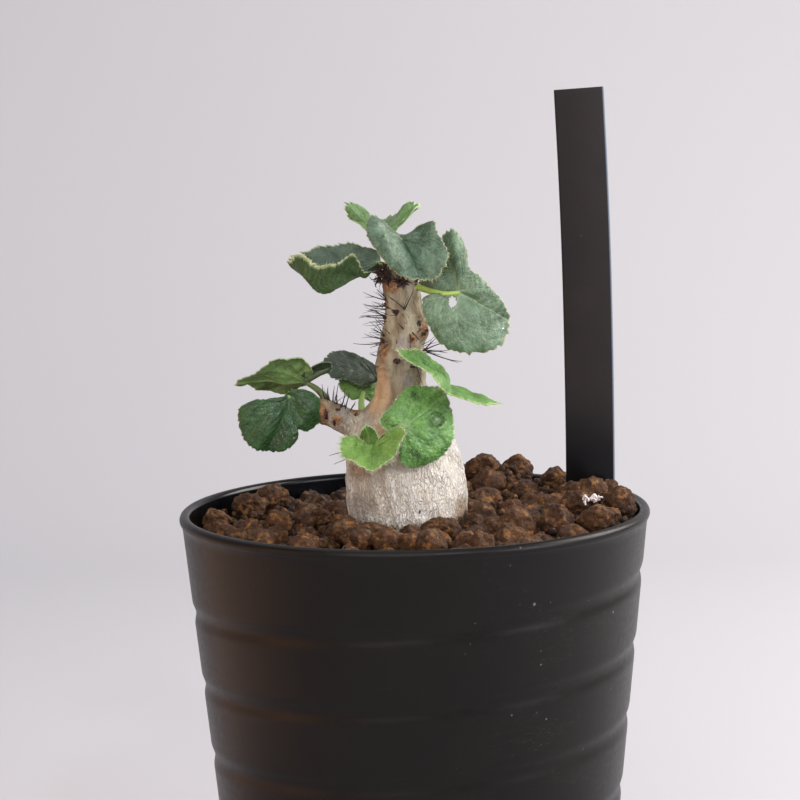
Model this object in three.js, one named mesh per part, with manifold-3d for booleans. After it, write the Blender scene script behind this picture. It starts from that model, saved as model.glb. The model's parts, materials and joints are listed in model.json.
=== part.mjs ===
// Potted caudex plant: a swollen trunk with one branch and twelve rounded leaves, in coarse soil,
// in a round plastic pot with a shallow spiral groove, with a bare plant label beside it.
// Millimetres, +Z up, the origin at the middle of the pot's underside. The front faces -Y.

import * as THREE from "three";
import { mergeVertices } from "three/addons/utils/BufferGeometryUtils.js";
import Module from "manifold-3d";

const wasm = await Module();
wasm.setup();

// Driving dimensions
const GAP = 0.3;                 // clearance between pieces that touch
const FINEST = 0.08;             // edges shorter than this are merged away
const SAME_POINT = 1e-4;         // corners nearer than this are one corner

const POT_HEIGHT = 90;
const POT_RIM_RADIUS = 45;
const POT_FOOT_RADIUS = 35.7;    // outer wall at the table
const POT_TAPER = 0.1;           // how much the radius grows for each millimetre of height
const POT_WALL = 1.6;
const POT_RIM_INNER_RADIUS = 42.9;
const POT_RIM_DEPTH = 2.2;       // height of the rolled rim
const POT_FLOOR = 1.4;           // floor thickness
const POT_FOOT_HEIGHT = 2;       // how far the floor stands above the table
const POT_FOOT_WIDTH = 1.8;
const POT_DRAIN_RADIUS = 7;
const POT_BEVEL = 0.6;           // on the rim's and the foot's edges
const POT_SEGMENTS = 36;
const GROOVE_PITCH = 14;
const GROOVE_DEPTH = 0.4;
const GROOVE_WIDTH = 3.4;
const GROOVE_START_DEPTH = 8.5;  // below the rim, at the back, where the thread starts
const GROOVE_TURNS = 5.25;

const SOIL_LEVEL = 88.2;         // grain tops at the middle
const SOIL_TILT = 0.03;          // rise to the right for each millimetre
const SOIL_CORE_DROP = 3.4;      // the solid bed lies this far below the grain tops
const GRAIN_COUNT = 128;
const GRAIN_RADIUS = 2.8;
const GRAIN_EXTRA_RADIUS = 1.6;
const GRAIN_SPREAD = 41;         // radius of the disc that the grains fill
const GRAIN_JITTER = 1.6;        // how far a granule may lie from its place in the spread
const GRAIN_UNEVENNESS = 2.2;    // difference in height between the lowest and the highest
const GRAIN_SINK = 0.6;          // share of that difference that lies below the soil's level
const GRAIN_CROWDING = 0.35;     // share of a granule's radius kept off a large one
const TRUNK_CLEARANCE = 9;       // no granule is centred this near to the trunk's axis
const GRAIN_FULLNESS = 1.1;      // corners of a granule stand this much past its radius
const GRAIN_ROOT = 1.9;          // the buried half of a granule reaches this much deeper
const GRAIN_TIP = 0.6;           // how far granules are tipped, in radians
const GRAIN_LEAST = 0.85;        // least stretch of a granule along and across
const GRAIN_RANGE = 0.35;        // how much more than that others are stretched
const GRAIN_LEAST_HEIGHT = 0.8;  // least stretch of a granule in height
const GRAIN_HEIGHT_RANGE = 0.2;

const BLADE_THICKNESS = 0.6;
const STALK_RADIUS = 0.7;
const STALK_NECK_RADIUS = 0.63;  // a third of the way from the blade
const STALK_TIP_RADIUS = 0.42;
const BRISTLE_RADIUS = 0.2;

const LABEL_WIDTH = 10;
const LABEL_THICKNESS = 0.8;
const LABEL_YAW = THREE.MathUtils.degToRad(15);
const LABEL_POINT_HEIGHT = 22;   // length of the pointed end in the soil
const LABEL_TOP_SLANT = 0.5;     // how much higher the top's right corner is

// Seeded draws
// One salt for each thing that is drawn, so that the draws don't follow each other.
const SALT = {
  x: 1, y: 2, radius: 3, lift: 4, length: 5, width: 6, height: 7, turn: 8, tip: 9,
  scaleTurn: 41, scaleLift: 42, scaleReach: 43, scaleTip: 44, tufts: 100,
};
const TUFT_SALTS = 10;           // salts set aside for each tuft

/** A repeatable number from 0 to 1 for a counter and a salt. */
function draw(index, salt) {
  const value = Math.sin(index * 12.9898 + salt * 78.233 + 4.137) * 43758.5453;
  return value - Math.floor(value);
}

// Solids and joins
/** A closed geometry as a solid that can be joined and cut. */
function toSolid(geometry) {
  const bare = geometry.clone();
  bare.deleteAttribute("normal");
  bare.deleteAttribute("uv");
  const merged = mergeVertices(bare, SAME_POINT);
  return new wasm.Manifold(new wasm.Mesh({
    numProp: 3,
    vertProperties: new Float32Array(merged.attributes.position.array),
    triVerts: new Uint32Array(merged.index.array),
  }));
}

/** The largest body of a solid, so that loose scraps and sealed hollows are dropped. */
function largestBody(solid) {
  const bodies = solid.decompose();
  bodies.sort((a, b) => b.volume() - a.volume());
  return bodies[0];
}

/** A solid as a geometry that a mesh can show. */
function toGeometry(solid) {
  const mesh = largestBody(solid.asOriginal().simplify(FINEST)).getMesh();
  const geometry = new THREE.BufferGeometry();
  geometry.setAttribute("position", new THREE.BufferAttribute(new Float32Array(mesh.vertProperties), 3));
  geometry.setIndex(new THREE.BufferAttribute(new Uint32Array(mesh.triVerts), 1));
  const flat = geometry.toNonIndexed();
  flat.computeVertexNormals();
  return flat;
}

/** A geometry from vertices and triangles. */
function fromTriangles(points, triangles) {
  const geometry = new THREE.BufferGeometry();
  const numbers = points.flatMap((p) => [p.x, p.y, p.z]);
  geometry.setAttribute("position", new THREE.Float32BufferAttribute(numbers, 3));
  geometry.setIndex(triangles.flat());
  return geometry;
}

/** Joins rings of equal length into a closed skin with a fan at each end. */
function skin(rings) {
  const sides = rings[0].length;
  const points = rings.flat();
  const triangles = [];
  for (let i = 0; i < rings.length - 1; i += 1) {
    for (let k = 0; k < sides; k += 1) {
      const a = i * sides + k;
      const b = i * sides + ((k + 1) % sides);
      triangles.push([a, b, b + sides], [a, b + sides, a + sides]);
    }
  }
  const last = (rings.length - 1) * sides;
  for (let k = 1; k < sides - 1; k += 1) {
    triangles.push([0, k + 1, k], [last, last + k, last + k + 1]);
  }
  return fromTriangles(points, triangles);
}

const LIMB_FRONT = new THREE.Vector3(0, -1, 0.01);

/** A round limb through stations [x, y, z, radius], thicker by grow all over. */
function limb(stations, sides, steps, grow = 0) {
  const path = new THREE.CatmullRomCurve3(stations.map(([x, y, z]) => new THREE.Vector3(x, y, z)));
  const girth = new THREE.CatmullRomCurve3(stations.map(([, , , r], i) => new THREE.Vector3(r, i, 0)));
  const rings = [];
  let across = null;
  for (let i = 0; i <= steps; i += 1) {
    const t = i / steps;
    const centre = path.getPoint(t);
    const along = path.getTangent(t);
    const radius = girth.getPoint(t).x + grow;
    if (across === null) across = LIMB_FRONT.clone().cross(along);
    across.addScaledVector(along, -across.dot(along)).normalize();
    const up = along.clone().cross(across);
    const end = (i === 0 ? -grow : 0) + (i === steps ? grow : 0);
    const ring = [];
    for (let k = 0; k < sides; k += 1) {
      const angle = (2 * Math.PI * k) / sides;
      ring.push(centre.clone()
        .addScaledVector(across, radius * Math.cos(angle))
        .addScaledVector(up, radius * Math.sin(angle))
        .addScaledVector(along, end));
    }
    rings.push(ring);
  }
  return skin(rings);
}

/** A closed turned shape from a profile of [radius, height] points. */
function turned(profile, segments) {
  const points = profile.map(([r, z]) => new THREE.Vector2(r, z));
  const first = points[0];
  const last = points[points.length - 1];
  if (first.x > 0 || last.x > 0) points.push(first.clone());
  const geometry = new THREE.LatheGeometry(points, segments);
  geometry.rotateX(Math.PI / 2);
  return geometry;
}

// Pot
/** Outer wall radius at a height. */
const potOuter = (z) => POT_FOOT_RADIUS + POT_TAPER * z;
/** Inner wall radius at a height. */
const potInner = (z) => potOuter(z) - POT_WALL;

function potBody() {
  const rimBottom = POT_HEIGHT - POT_RIM_DEPTH;
  const floorTop = POT_FOOT_HEIGHT + POT_FLOOR;
  const profile = [
    [POT_DRAIN_RADIUS, POT_FOOT_HEIGHT],
    [POT_FOOT_RADIUS - POT_FOOT_WIDTH, POT_FOOT_HEIGHT],
    [POT_FOOT_RADIUS - POT_FOOT_WIDTH, 0],
    [POT_FOOT_RADIUS - POT_BEVEL, 0],
    [potOuter(POT_BEVEL), POT_BEVEL],
    [potOuter(rimBottom - POT_BEVEL), rimBottom - POT_BEVEL],
    [POT_RIM_RADIUS, rimBottom],
    [POT_RIM_RADIUS, POT_HEIGHT - POT_BEVEL],
    [POT_RIM_RADIUS - POT_BEVEL, POT_HEIGHT],
    [POT_RIM_INNER_RADIUS + POT_BEVEL, POT_HEIGHT],
    [POT_RIM_INNER_RADIUS, POT_HEIGHT - POT_BEVEL],
    [potInner(floorTop), floorTop],
    [POT_DRAIN_RADIUS, floorTop],
  ];
  return turned(profile, POT_SEGMENTS);
}

/** The spiral cutter: one thread that rises to the right as seen from the front. */
function spiralGroove() {
  const steps = Math.round(GROOVE_TURNS * POT_SEGMENTS);
  const rings = [];
  for (let i = 0; i <= steps; i += 1) {
    const turn = i / POT_SEGMENTS;
    const angle = Math.PI / 2 - 2 * Math.PI * turn;
    const height = POT_HEIGHT - GROOVE_START_DEPTH - GROOVE_PITCH * turn;
    const section = [[GROOVE_WIDTH, GROOVE_DEPTH], [0, -GROOVE_DEPTH], [-GROOVE_WIDTH, GROOVE_DEPTH]];
    rings.push(section.map(([dz, out]) => {
      const z = height + dz;
      const radius = potOuter(z) + out;
      return new THREE.Vector3(radius * Math.cos(angle), radius * Math.sin(angle), z);
    }));
  }
  return skin(rings);
}

function pot() {
  return toGeometry(toSolid(potBody()).subtract(toSolid(spiralGroove())));
}

// Plant body: root, caudex, stem and branch, as stations [x, y, z, radius]
const TRUNK = [
  [-1.5, 1.5, 56, 1.6],
  [-1.0, 1.2, 66, 4.2],
  [-1.2, 0.8, 76, 7.6],
  [-1.4, 0.6, 84, 10.0],
  [-1.4, 0.5, 90, 11.4],
  [-1.5, 0.5, 94.5, 11.5],
  [-2.0, 0.5, 99, 10.6],
  [-2.5, 0.4, 103, 8.7],
  [-2.4, 0.2, 106.5, 6.7],
  [-2.1, 0, 110, 5.1],
  [-2.1, 0, 114, 4.6],
  [-2.1, 0, 118, 4.5],
  [-1.8, 0, 121, 4.1],
  [-1.2, 0, 126, 3.8],
  [-1.5, 0, 130, 3.4],
  [-1.9, 0, 134, 3.3],
  [-2.1, 0, 136.4, 2.2],
];
const BRANCH = [
  [-4.0, 0, 103.6, 3.2],
  [-8.0, -0.4, 104.8, 2.9],
  [-11.5, -0.8, 106.2, 2.5],
  [-14.5, -1.0, 107.8, 2.4],
  [-17.0, -1.2, 109.0, 2.3],
  [-18.2, -1.3, 109.6, 1.6],
];
// The swellings of old leaf nodes, as [x, y, z, radius].
const KNOBS = [
  [0.5, -0.7, 124.2, 2.5],
  [-4.2, -0.8, 119.0, 2.1],
  [-3.4, -0.4, 134.4, 1.7],
];
const TRUNK_SIDES = 18;
const TRUNK_STEPS = 26;
const BRANCH_SIDES = 10;
const BRANCH_STEPS = 8;

// Tufts of dark bristles: foot, direction, count, length and half angle of the spread in degrees.
const TUFTS = [
  { foot: [-4.6, -1.2, 128.8], way: [-1, -0.2, 0.45], count: 8, length: 4.4, spread: 38 },
  { foot: [-4.8, -1.0, 126.4], way: [-1, -0.15, 0.1], count: 6, length: 4.6, spread: 24 },
  { foot: [-4.6, -1.6, 122.4], way: [-1, -0.3, 0.15], count: 9, length: 4.8, spread: 48 },
  { foot: [-6.0, -1.2, 119.0], way: [-1, -0.5, 0.1], count: 6, length: 2.2, spread: 55 },
  { foot: [1.8, -1.8, 120.6], way: [1, -0.3, 0.25], count: 6, length: 4.4, spread: 40 },
  { foot: [0.6, -3.2, 124.6], way: [0.1, -0.9, 0.5], count: 5, length: 3.2, spread: 60 },
  { foot: [-2.0, -3.6, 128.2], way: [-0.3, -0.8, 0.6], count: 4, length: 3.4, spread: 45 },
  { foot: [-2.4, -3.9, 120.4], way: [0.2, -0.9, -0.2], count: 3, length: 2.4, spread: 60 },
  { foot: [-15.5, -1.4, 110.6], way: [-0.1, -0.3, 1], count: 8, length: 3.2, spread: 50 },
  { foot: [-12.4, -1.6, 109.4], way: [0.1, -0.4, 1], count: 5, length: 2.4, spread: 50 },
  { foot: [-5.0, 1.6, 124.0], way: [-0.6, 0.9, 0.2], count: 6, length: 3.8, spread: 45 },
  { foot: [0.6, 3.0, 122.0], way: [0.5, 1, 0.2], count: 6, length: 3.8, spread: 45 },
  { foot: [-2.0, 3.4, 128.0], way: [0, 1, 0.4], count: 5, length: 3.4, spread: 45 },
];
const BRISTLE_ROOT = 0.9;        // length sunk into the bark
const BRISTLE_FOOT_SPREAD = 0.5; // how far a tuft's feet stand from its middle
const BRISTLE_SHORTEST = 0.6;    // share of the longest

// Dark pointed scales round the growing tip.
const SCALES = {
  centre: [-2.2, -0.2, 133.4], ring: 3.2, count: 18, length: 2.2, radius: 0.8, root: 1,
  unevenness: 0.03, lowest: -1.2, band: 3.2, droop: 0.5, rise: 0.9,
};

/** A three-sided spike from foot to tip. */
function spike(foot, tip, radius) {
  const along = tip.clone().sub(foot).normalize();
  const side = new THREE.Vector3(along.y, along.z, along.x).cross(along).normalize();
  const other = along.clone().cross(side);
  const base = [0, 1, 2].map((k) => {
    const angle = (2 * Math.PI * k) / 3;
    return foot.clone()
      .addScaledVector(side, radius * Math.cos(angle))
      .addScaledVector(other, radius * Math.sin(angle));
  });
  return fromTriangles([...base, tip], [[0, 2, 1], [0, 1, 3], [1, 2, 3], [2, 0, 3]]);
}

/** The spikes of one tuft, with their roots sunk into the stem. */
function tuft({ foot, way, count, length, spread }, salt) {
  const origin = new THREE.Vector3(...foot);
  const axis = new THREE.Vector3(...way).normalize();
  const side = new THREE.Vector3(axis.y, axis.z, axis.x).cross(axis).normalize();
  const other = axis.clone().cross(side);
  const spikes = [];
  for (let i = 0; i < count; i += 1) {
    const tilt = THREE.MathUtils.degToRad(spread) * Math.sqrt(draw(i, salt));
    const turn = 2 * Math.PI * ((i + draw(i, salt + 1)) / count);
    const reach = length * (BRISTLE_SHORTEST + (1 - BRISTLE_SHORTEST) * draw(i, salt + 2));
    const direction = axis.clone().multiplyScalar(Math.cos(tilt))
      .addScaledVector(side, Math.sin(tilt) * Math.cos(turn))
      .addScaledVector(other, Math.sin(tilt) * Math.sin(turn));
    const start = origin.clone().addScaledVector(axis, -BRISTLE_ROOT)
      .addScaledVector(side, BRISTLE_FOOT_SPREAD * Math.cos(turn))
      .addScaledVector(other, BRISTLE_FOOT_SPREAD * Math.sin(turn));
    spikes.push(spike(start, start.clone().addScaledVector(direction, reach + BRISTLE_ROOT), BRISTLE_RADIUS));
  }
  return spikes;
}

/** The scales at the top of the stem. */
function scales() {
  const parts = [];
  for (let i = 0; i < SCALES.count; i += 1) {
    const angle = 2 * Math.PI * (i / SCALES.count + SCALES.unevenness * draw(i, SALT.scaleTurn));
    const out = new THREE.Vector3(Math.cos(angle), Math.sin(angle), 0);
    const foot = new THREE.Vector3(...SCALES.centre).addScaledVector(out, SCALES.ring - SCALES.root);
    foot.z += SCALES.lowest + SCALES.band * draw(i, SALT.scaleLift);
    const tip = foot.clone().addScaledVector(out, (SCALES.length * (1 + draw(i, SALT.scaleReach))) / 2);
    tip.z += (SCALES.rise + SCALES.droop) * draw(i, SALT.scaleTip) - SCALES.droop;
    parts.push(spike(foot, tip, SCALES.radius));
  }
  return parts;
}

/** Root, caudex, stem and branch as one solid, thicker by grow all over. */
function bareBody(grow = 0) {
  const trunk = toSolid(limb(TRUNK, TRUNK_SIDES, TRUNK_STEPS, grow));
  const branch = toSolid(limb(BRANCH, BRANCH_SIDES, BRANCH_STEPS, grow));
  return trunk.add(branch);
}

/** The knobs where leaves have been shed. */
function knobs(grow = 0) {
  return KNOBS.map(([x, y, z, radius]) => {
    const knob = new THREE.IcosahedronGeometry(radius + grow, 1);
    knob.translate(x, y, z);
    return toSolid(knob);
  });
}

function plantBody() {
  const spikes = TUFTS.flatMap((entry, i) => tuft(entry, SALT.tufts + TUFT_SALTS * i)).concat(scales());
  const pieces = [bareBody(), ...knobs(), ...spikes.map(toSolid)];
  return toGeometry(wasm.Manifold.union(pieces));
}

// Leaves
// Each leaf has its joint with the stalk, and its rim as [x, y, z, bulge] from the tip on, round the
// upper face. Bulge is how far the blade swells between the joint and that point of the rim.
const LEAVES = [
  {
    name: "leaf_right", colour: 0x4f6f57, joint: [9, -4, 131.5], wave: [0.25, 7],
    rim: [
      [18.7, -3, 125.5, 0.3], [17.4, -3.5, 129.3, 0.6], [15.4, -4, 131.8, 0.8], [13.2, -4, 134.2, 0.8],
      [11.1, -3.6, 136, 0.8], [10.7, -3.3, 139.2, 0.9], [8.5, -3, 143, 1], [6, -1.5, 141.5, 0.6],
      [2.5, -1, 137, 0.2], [2, -2, 133, 0], [5.5, -3, 132, 0],
      [8.5, -4, 130.5, 0], [5.5, -4.5, 130.5, 0.2], [2.5, -4.5, 130.5, 0.3], [2.5, -5, 127, 0.6],
      [5.5, -5.5, 122, 0.9], [10.5, -5.5, 120, 1], [16.5, -4.5, 121, 0.6],
    ],
    stalk: [[-0.5, -1, 133], [3, -1.6, 133], [6, -2.4, 132.4], [9, -3.9, 131.5]],
  },
  {
    name: "leaf_top_front", colour: 0x587a62, joint: [-1.5, -3.5, 141.5], wave: [0.25, 7],
    rim: [
      [2.5, -8.5, 134, -0.6], [5, -8.5, 134.5, 0.2], [7, -7.5, 137.5, 0.4], [6.5, -6.5, 140, 0.4],
      [5, -5, 142.5, 0.3], [4.5, -4, 144.5, 0.2], [1.5, -3.5, 143.5, 0], [-1, -3, 142, 0], [-3, -3, 143, 0],
      [-5.5, -3, 145, 1], [-7.5, -4.5, 145, 1.4], [-8, -6.5, 143, 1.8], [-7, -8, 140.5, 2],
      [-4.5, -9, 137, 2], [-1, -9, 134.5, 1.2],
    ],
    stalk: [[-1.6, -0.6, 134], [-1.6, -1.2, 137], [-1.6, -2.2, 139.6], [-1.5, -3.4, 141.5]],
  },
  {
    name: "leaf_top_left", colour: 0x33521f, joint: [-6, -1.5, 137], wave: [0.25, 8],
    swell: [-0.75, -0.1, -0.93],
    rim: [
      [-22.5, -1, 137.5, 3], [-21, -4, 139, 4], [-18.5, -6, 138, 5], [-16.5, -6.5, 137, 5.2],
      [-14, -7, 137.5, 4.6], [-11, -6, 139, 3.2], [-9.5, -5, 137.5, 2], [-8.5, -4, 135.5, 1],
      [-7, -2, 135.5, 0.2], [-5.5, -0.5, 137, 0.2], [-6.5, 1.5, 139.5, 0.4], [-9.5, 3.5, 140, 0.8],
      [-12.5, 4.5, 140.5, 1], [-16, 4.5, 140, 1.2], [-20, 3, 139, 1.6], [-22, 1, 138.5, 2.2],
    ],
    stalk: [[-2.4, -0.4, 134.6], [-3.8, -0.8, 135.8], [-5, -1.2, 136.6], [-6, -1.5, 137]],
  },
  {
    name: "leaf_top_back", colour: 0x6f9a4a, joint: [-5, 2, 141.5], wave: [0.2, 6],
    rim: [
      [-5.5, 13, 144.5, 0], [-8, 12, 145.5, 0.2], [-10.5, 9, 147.5, 0.3], [-12, 6, 147.5, 0.3],
      [-11, 4, 145, 0.3], [-8, 2, 143, 0.2], [-5, 1, 141.5, 0], [-2.5, 2.5, 142.5, 0.2],
      [0.5, 4, 146, 0.3], [2, 6.5, 147, 0.3], [0, 9, 147.5, 0.3], [-3, 12, 145, 0.2],
    ],
    stalk: [[-2.6, 0.8, 134.6], [-3.4, 1.4, 137.4], [-4.4, 1.8, 140], [-5, 2, 141.5]],
  },
  {
    name: "leaf_left_low", colour: 0x27431f, joint: [-23.5, -3, 112], wave: [0.2, 8],
    rim: [
      [-27.5, -4.5, 102, 0.8], [-24.5, -5, 102, 0.8], [-22, -4.5, 104, 0.6], [-22, -4, 106, 0.2],
      [-20, -3.5, 105.5, 0.6], [-17.5, -3, 107.5, 0.8], [-17.5, -2.5, 111, 0.8], [-19.5, -2.5, 113, 0.5],
      [-21.5, -3, 113.5, 0.1], [-23.5, -3, 113, 0], [-25, -3.5, 111.5, 0.2], [-27.5, -4, 111, 0.4],
      [-29.5, -4, 111.5, 0.6], [-32.5, -4.5, 110.5, 0.8], [-33, -4.5, 108, 1], [-32, -5, 104.5, 1],
      [-30, -5, 102.5, 0.9],
    ],
    stalk: [[-16, -1, 109.2], [-18.6, -0.8, 110.2], [-21.4, -1.4, 111.4], [-23.5, -2.9, 112]],
  },
  {
    name: "leaf_left_high", colour: 0x5a7342, joint: [-20.5, 3.5, 114], wave: [0.25, 7],
    rim: [
      [-34, 4, 114, 0.3], [-31, 1.5, 115.5, 0.8], [-27.5, 0, 118, 1], [-24, -0.5, 119, 1],
      [-21, 0.5, 118.5, 0.8], [-19, 2, 116.5, 0.3], [-20, 3.5, 114, 0], [-21, 6, 113, 0.3],
      [-23.5, 7.5, 111.5, 0.6], [-27, 8.5, 111.5, 0.8], [-30, 7, 112.5, 0.6], [-32, 5.5, 113.5, 0.4],
    ],
    stalk: [[-15.5, 0, 109], [-16.6, 1.4, 111], [-18.4, 2.8, 112.8], [-20.5, 3.5, 114]],
  },
  {
    name: "leaf_middle_back", colour: 0x55705a, joint: [-7, 6.5, 114.5], wave: [0.2, 7],
    rim: [
      [-17.5, 5, 117, 0.5], [-15.5, 3, 115, 0.4], [-13, 3, 114.5, 0.5], [-10.5, 3, 113.5, 0.5],
      [-8.5, 4, 113, 0.3], [-6.5, 5.5, 114, 0], [-6.5, 7, 115, 0], [-6.5, 8.5, 116, 0.2],
      [-9, 10.5, 117.5, 0.3], [-12, 11.5, 118.5, 0.4], [-15, 11.5, 119, 0.3], [-16.5, 8.5, 118, 0.3],
    ],
    stalk: [[-3, 2, 112.6], [-4.6, 4, 113.4], [-6, 5.6, 114], [-7, 6.5, 114.5]],
  },
  {
    name: "leaf_small_back", colour: 0x4c7a24, joint: [-9.5, 5, 111.5], wave: [0.15, 6],
    rim: [
      [-7.5, 8.5, 114.1, 0.2], [-10, 8.5, 114.2, 0.3], [-12.5, 7.5, 114.2, 0.4], [-14, 6, 113.8, 0.4],
      [-13.5, 5, 112, 0.3], [-12, 4.5, 110.5, 0.2], [-10, 4.5, 110.5, 0], [-8.5, 5, 110, 0.2],
      [-7, 5.5, 109, 0.2], [-6.3, 7, 110.4, 0.3], [-6.3, 8, 112.6, 0.3],
    ],
    stalk: [[-9, 0.6, 106], [-9.6, 1.6, 107.8], [-9.8, 3.4, 109.8], [-9.5, 5, 111.5]],
  },
  {
    name: "leaf_right_edge", colour: 0x6a9a4a, joint: [7, -5.5, 114], wave: [0.2, 7],
    rim: [
      [7, -16, 113.5, 0.3], [11.5, -14, 111.5, 0.4], [16, -9.5, 111, 0.4], [13, -5, 112, 0.3],
      [9.5, -3.5, 113, 0.2], [7.5, -4.5, 114, 0], [5.5, -3.5, 117, 0.2], [2.5, -5.5, 120, 0.2],
      [-0.5, -7.5, 121, 0.3], [-2.5, -10, 121, 0.3], [-0.5, -12.5, 119.5, 0.4], [3.5, -15, 117, 0.5],
    ],
    stalk: [[0, -1, 112.6], [3, -2.6, 112.4], [5.4, -4.2, 112.8], [7, -5.5, 114]],
  },
  {
    name: "leaf_front_large", colour: 0x4b7a3c, joint: [-1.5, -12, 107], wave: [0.2, 8],
    rim: [
      [5.5, -9, 114, -0.6], [2.5, -9, 114.5, -0.2], [-0.5, -9.5, 114.5, 0.3], [-3.5, -10.5, 111.5, 0.5],
      [-5.5, -11.5, 109.5, 0.5], [-6, -12, 108, 0.3], [-4.5, -12.5, 106.5, 0.1], [-2.5, -12.5, 106.5, 0],
      [-2.5, -13.5, 104, 0.2], [-2.5, -14, 101.5, 0.4], [-0.5, -14, 100, 0.6], [2.5, -13.5, 100.5, 0.8],
      [5.5, -12.5, 102, 0.8], [7.5, -11.5, 104.5, 0.8], [8, -10.5, 107, 0.6], [7, -9.5, 111, 0.3],
    ],
    stalk: [[-2, -3, 107.5], [-2, -7, 107], [-1.8, -9.8, 106.8], [-1.5, -11.9, 107]],
  },
  {
    name: "leaf_front_young", colour: 0x86ab4e, joint: [-7.5, -12, 102.5], wave: [0.2, 7],
    rim: [
      [-7.5, -17.5, 100, 0.3], [-4, -17, 101, 0.4], [-2, -16.4, 103.5, 0.4], [-1, -15.8, 105.3, 0.3],
      [-2, -14.6, 106.2, 0.2], [-4, -12.8, 105.3, 0.1], [-6.5, -11, 103.5, 0], [-9, -11.5, 104, 0.1],
      [-11.5, -12, 105, 0.2], [-13, -13, 104, 0.3], [-13, -14.5, 101.5, 0.4], [-10.5, -16.5, 100.5, 0.4],
    ],
    stalk: [[-5, -4, 101.5], [-6, -8, 101.2], [-6.8, -10.4, 101.4], [-7.5, -11.9, 102.4]],
  },
  {
    name: "leaf_front_bud", colour: 0x5f9430, joint: [-8, -10, 103], wave: [0.1, 5],
    rim: [
      [-9, -12.5, 107.5, 0.1], [-7.5, -12, 107, 0.2], [-6.5, -11.5, 105, 0.2], [-6.5, -10, 103.5, 0.1],
      [-8, -9.5, 102.5, 0], [-9.5, -10, 103.5, 0.1], [-10, -11, 105.5, 0.2],
    ],
    stalk: [[-6, -4, 103], [-6.8, -7, 102.6], [-7.6, -9, 102.6], [-8, -10, 103]],
  },
];
const RIM_STEPS = 2;                  // samples for each point of a rim
const BLADE_RINGS = [0.36, 0.7, 1];   // shares of the way from the joint to the rim
const STALK_SIDES = 6;
const STALK_STEPS = 6;

const SWELL_EVENNESS = 0.5;           // the smaller, the nearer to the rim the blade swells most

/** How much of the bulge there is at a share of the way to the rim. */
const swellAt = (share) => 4 * share * (1 - share) * (SWELL_EVENNESS + share);

/** The closed curve of a rim, with the bulge carried beside it. */
function rimCurves(leaf) {
  const closed = (points) => new THREE.CatmullRomCurve3(points, true, "catmullrom");
  return {
    edge: closed(leaf.rim.map(([x, y, z]) => new THREE.Vector3(x, y, z))),
    bulge: closed(leaf.rim.map(([, , , bulge]) => new THREE.Vector3(bulge, 0, 0))),
  };
}

/** The direction that the upper face looks in, from the area that the rim encloses. */
function faceNormal(leaf) {
  const normal = new THREE.Vector3();
  const joint = new THREE.Vector3(...leaf.joint);
  const spokes = leaf.rim.map(([x, y, z]) => new THREE.Vector3(x, y, z).sub(joint));
  spokes.forEach((spoke, i) => normal.add(spoke.clone().cross(spokes[(i + 1) % spokes.length])));
  return normal.normalize();
}

/** The middle surface of a blade: the joint, then the rings out to the rim. */
function bladePoints(leaf) {
  const joint = new THREE.Vector3(...leaf.joint);
  const normal = faceNormal(leaf);
  const swell = leaf.swell ? new THREE.Vector3(...leaf.swell) : normal;
  const { edge, bulge } = rimCurves(leaf);
  const around = leaf.rim.length * RIM_STEPS;
  const [amplitude, waves] = leaf.wave;
  const points = [joint.clone()];
  for (const share of BLADE_RINGS) {
    for (let k = 0; k < around; k += 1) {
      const t = k / around;
      const point = joint.clone().lerp(edge.getPoint(t), share);
      point.addScaledVector(swell, bulge.getPoint(t).x * swellAt(share));
      const phase = leaf.rim.length;
      point.addScaledVector(normal, amplitude * share ** 3 * Math.sin(2 * Math.PI * waves * t + phase));
      points.push(point);
    }
  }
  return { points, around };
}

/** The blade as a closed solid of even thickness, split alike on both faces. */
function blade(leaf) {
  const { points, around } = bladePoints(leaf);
  const upper = [];
  for (let k = 0; k < around; k += 1) {
    const next = (k + 1) % around;
    upper.push([0, 1 + k, 1 + next]);
    for (let ring = 0; ring < BLADE_RINGS.length - 1; ring += 1) {
      const a = 1 + ring * around + k;
      const b = 1 + ring * around + next;
      upper.push([a, a + around, b + around], [a, b + around, b]);
    }
  }
  const normals = points.map(() => new THREE.Vector3());
  for (const [a, b, c] of upper) {
    const face = points[b].clone().sub(points[a]).cross(points[c].clone().sub(points[a]));
    for (const corner of [a, b, c]) normals[corner].add(face);
  }
  normals.forEach((n) => n.normalize());
  const half = BLADE_THICKNESS / 2;
  const top = points.map((p, i) => p.clone().addScaledVector(normals[i], half));
  const bottom = points.map((p, i) => p.clone().addScaledVector(normals[i], -half));
  const count = points.length;
  const lower = upper.map(([a, b, c]) => [a + count, c + count, b + count]);
  const rimStart = 1 + (BLADE_RINGS.length - 1) * around;
  const band = [];
  for (let k = 0; k < around; k += 1) {
    const a = rimStart + k;
    const b = rimStart + ((k + 1) % around);
    band.push([a, a + count, b + count], [a, b + count, b]);
  }
  return fromTriangles([...top, ...bottom], [...upper, ...lower, ...band]);
}

/** One leaf: blade and stalk joined, and seated a gap away from the wood. */
function leafSolid(leaf) {
  const radii = [STALK_RADIUS, STALK_RADIUS, STALK_NECK_RADIUS, STALK_TIP_RADIUS];
  const stalk = limb(leaf.stalk.map((p, i) => [...p, radii[i]]), STALK_SIDES, STALK_STEPS);
  return toSolid(blade(leaf)).add(toSolid(stalk)).subtract(woodKeepOut);
}

// Label
const LABEL_SPINE = [
  // x, z of the middle line
  [34.6, 58], [34.7, 80], [34.75, 94], [34.7, 112], [34.4, 135], [33.9, 152], [33.2, 169],
];
const LABEL_DEPTH = 10.6;        // y of that line
const LABEL_STEPS = 12;
const LABEL_TIP_HALF_WIDTH = 0.8;

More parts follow.
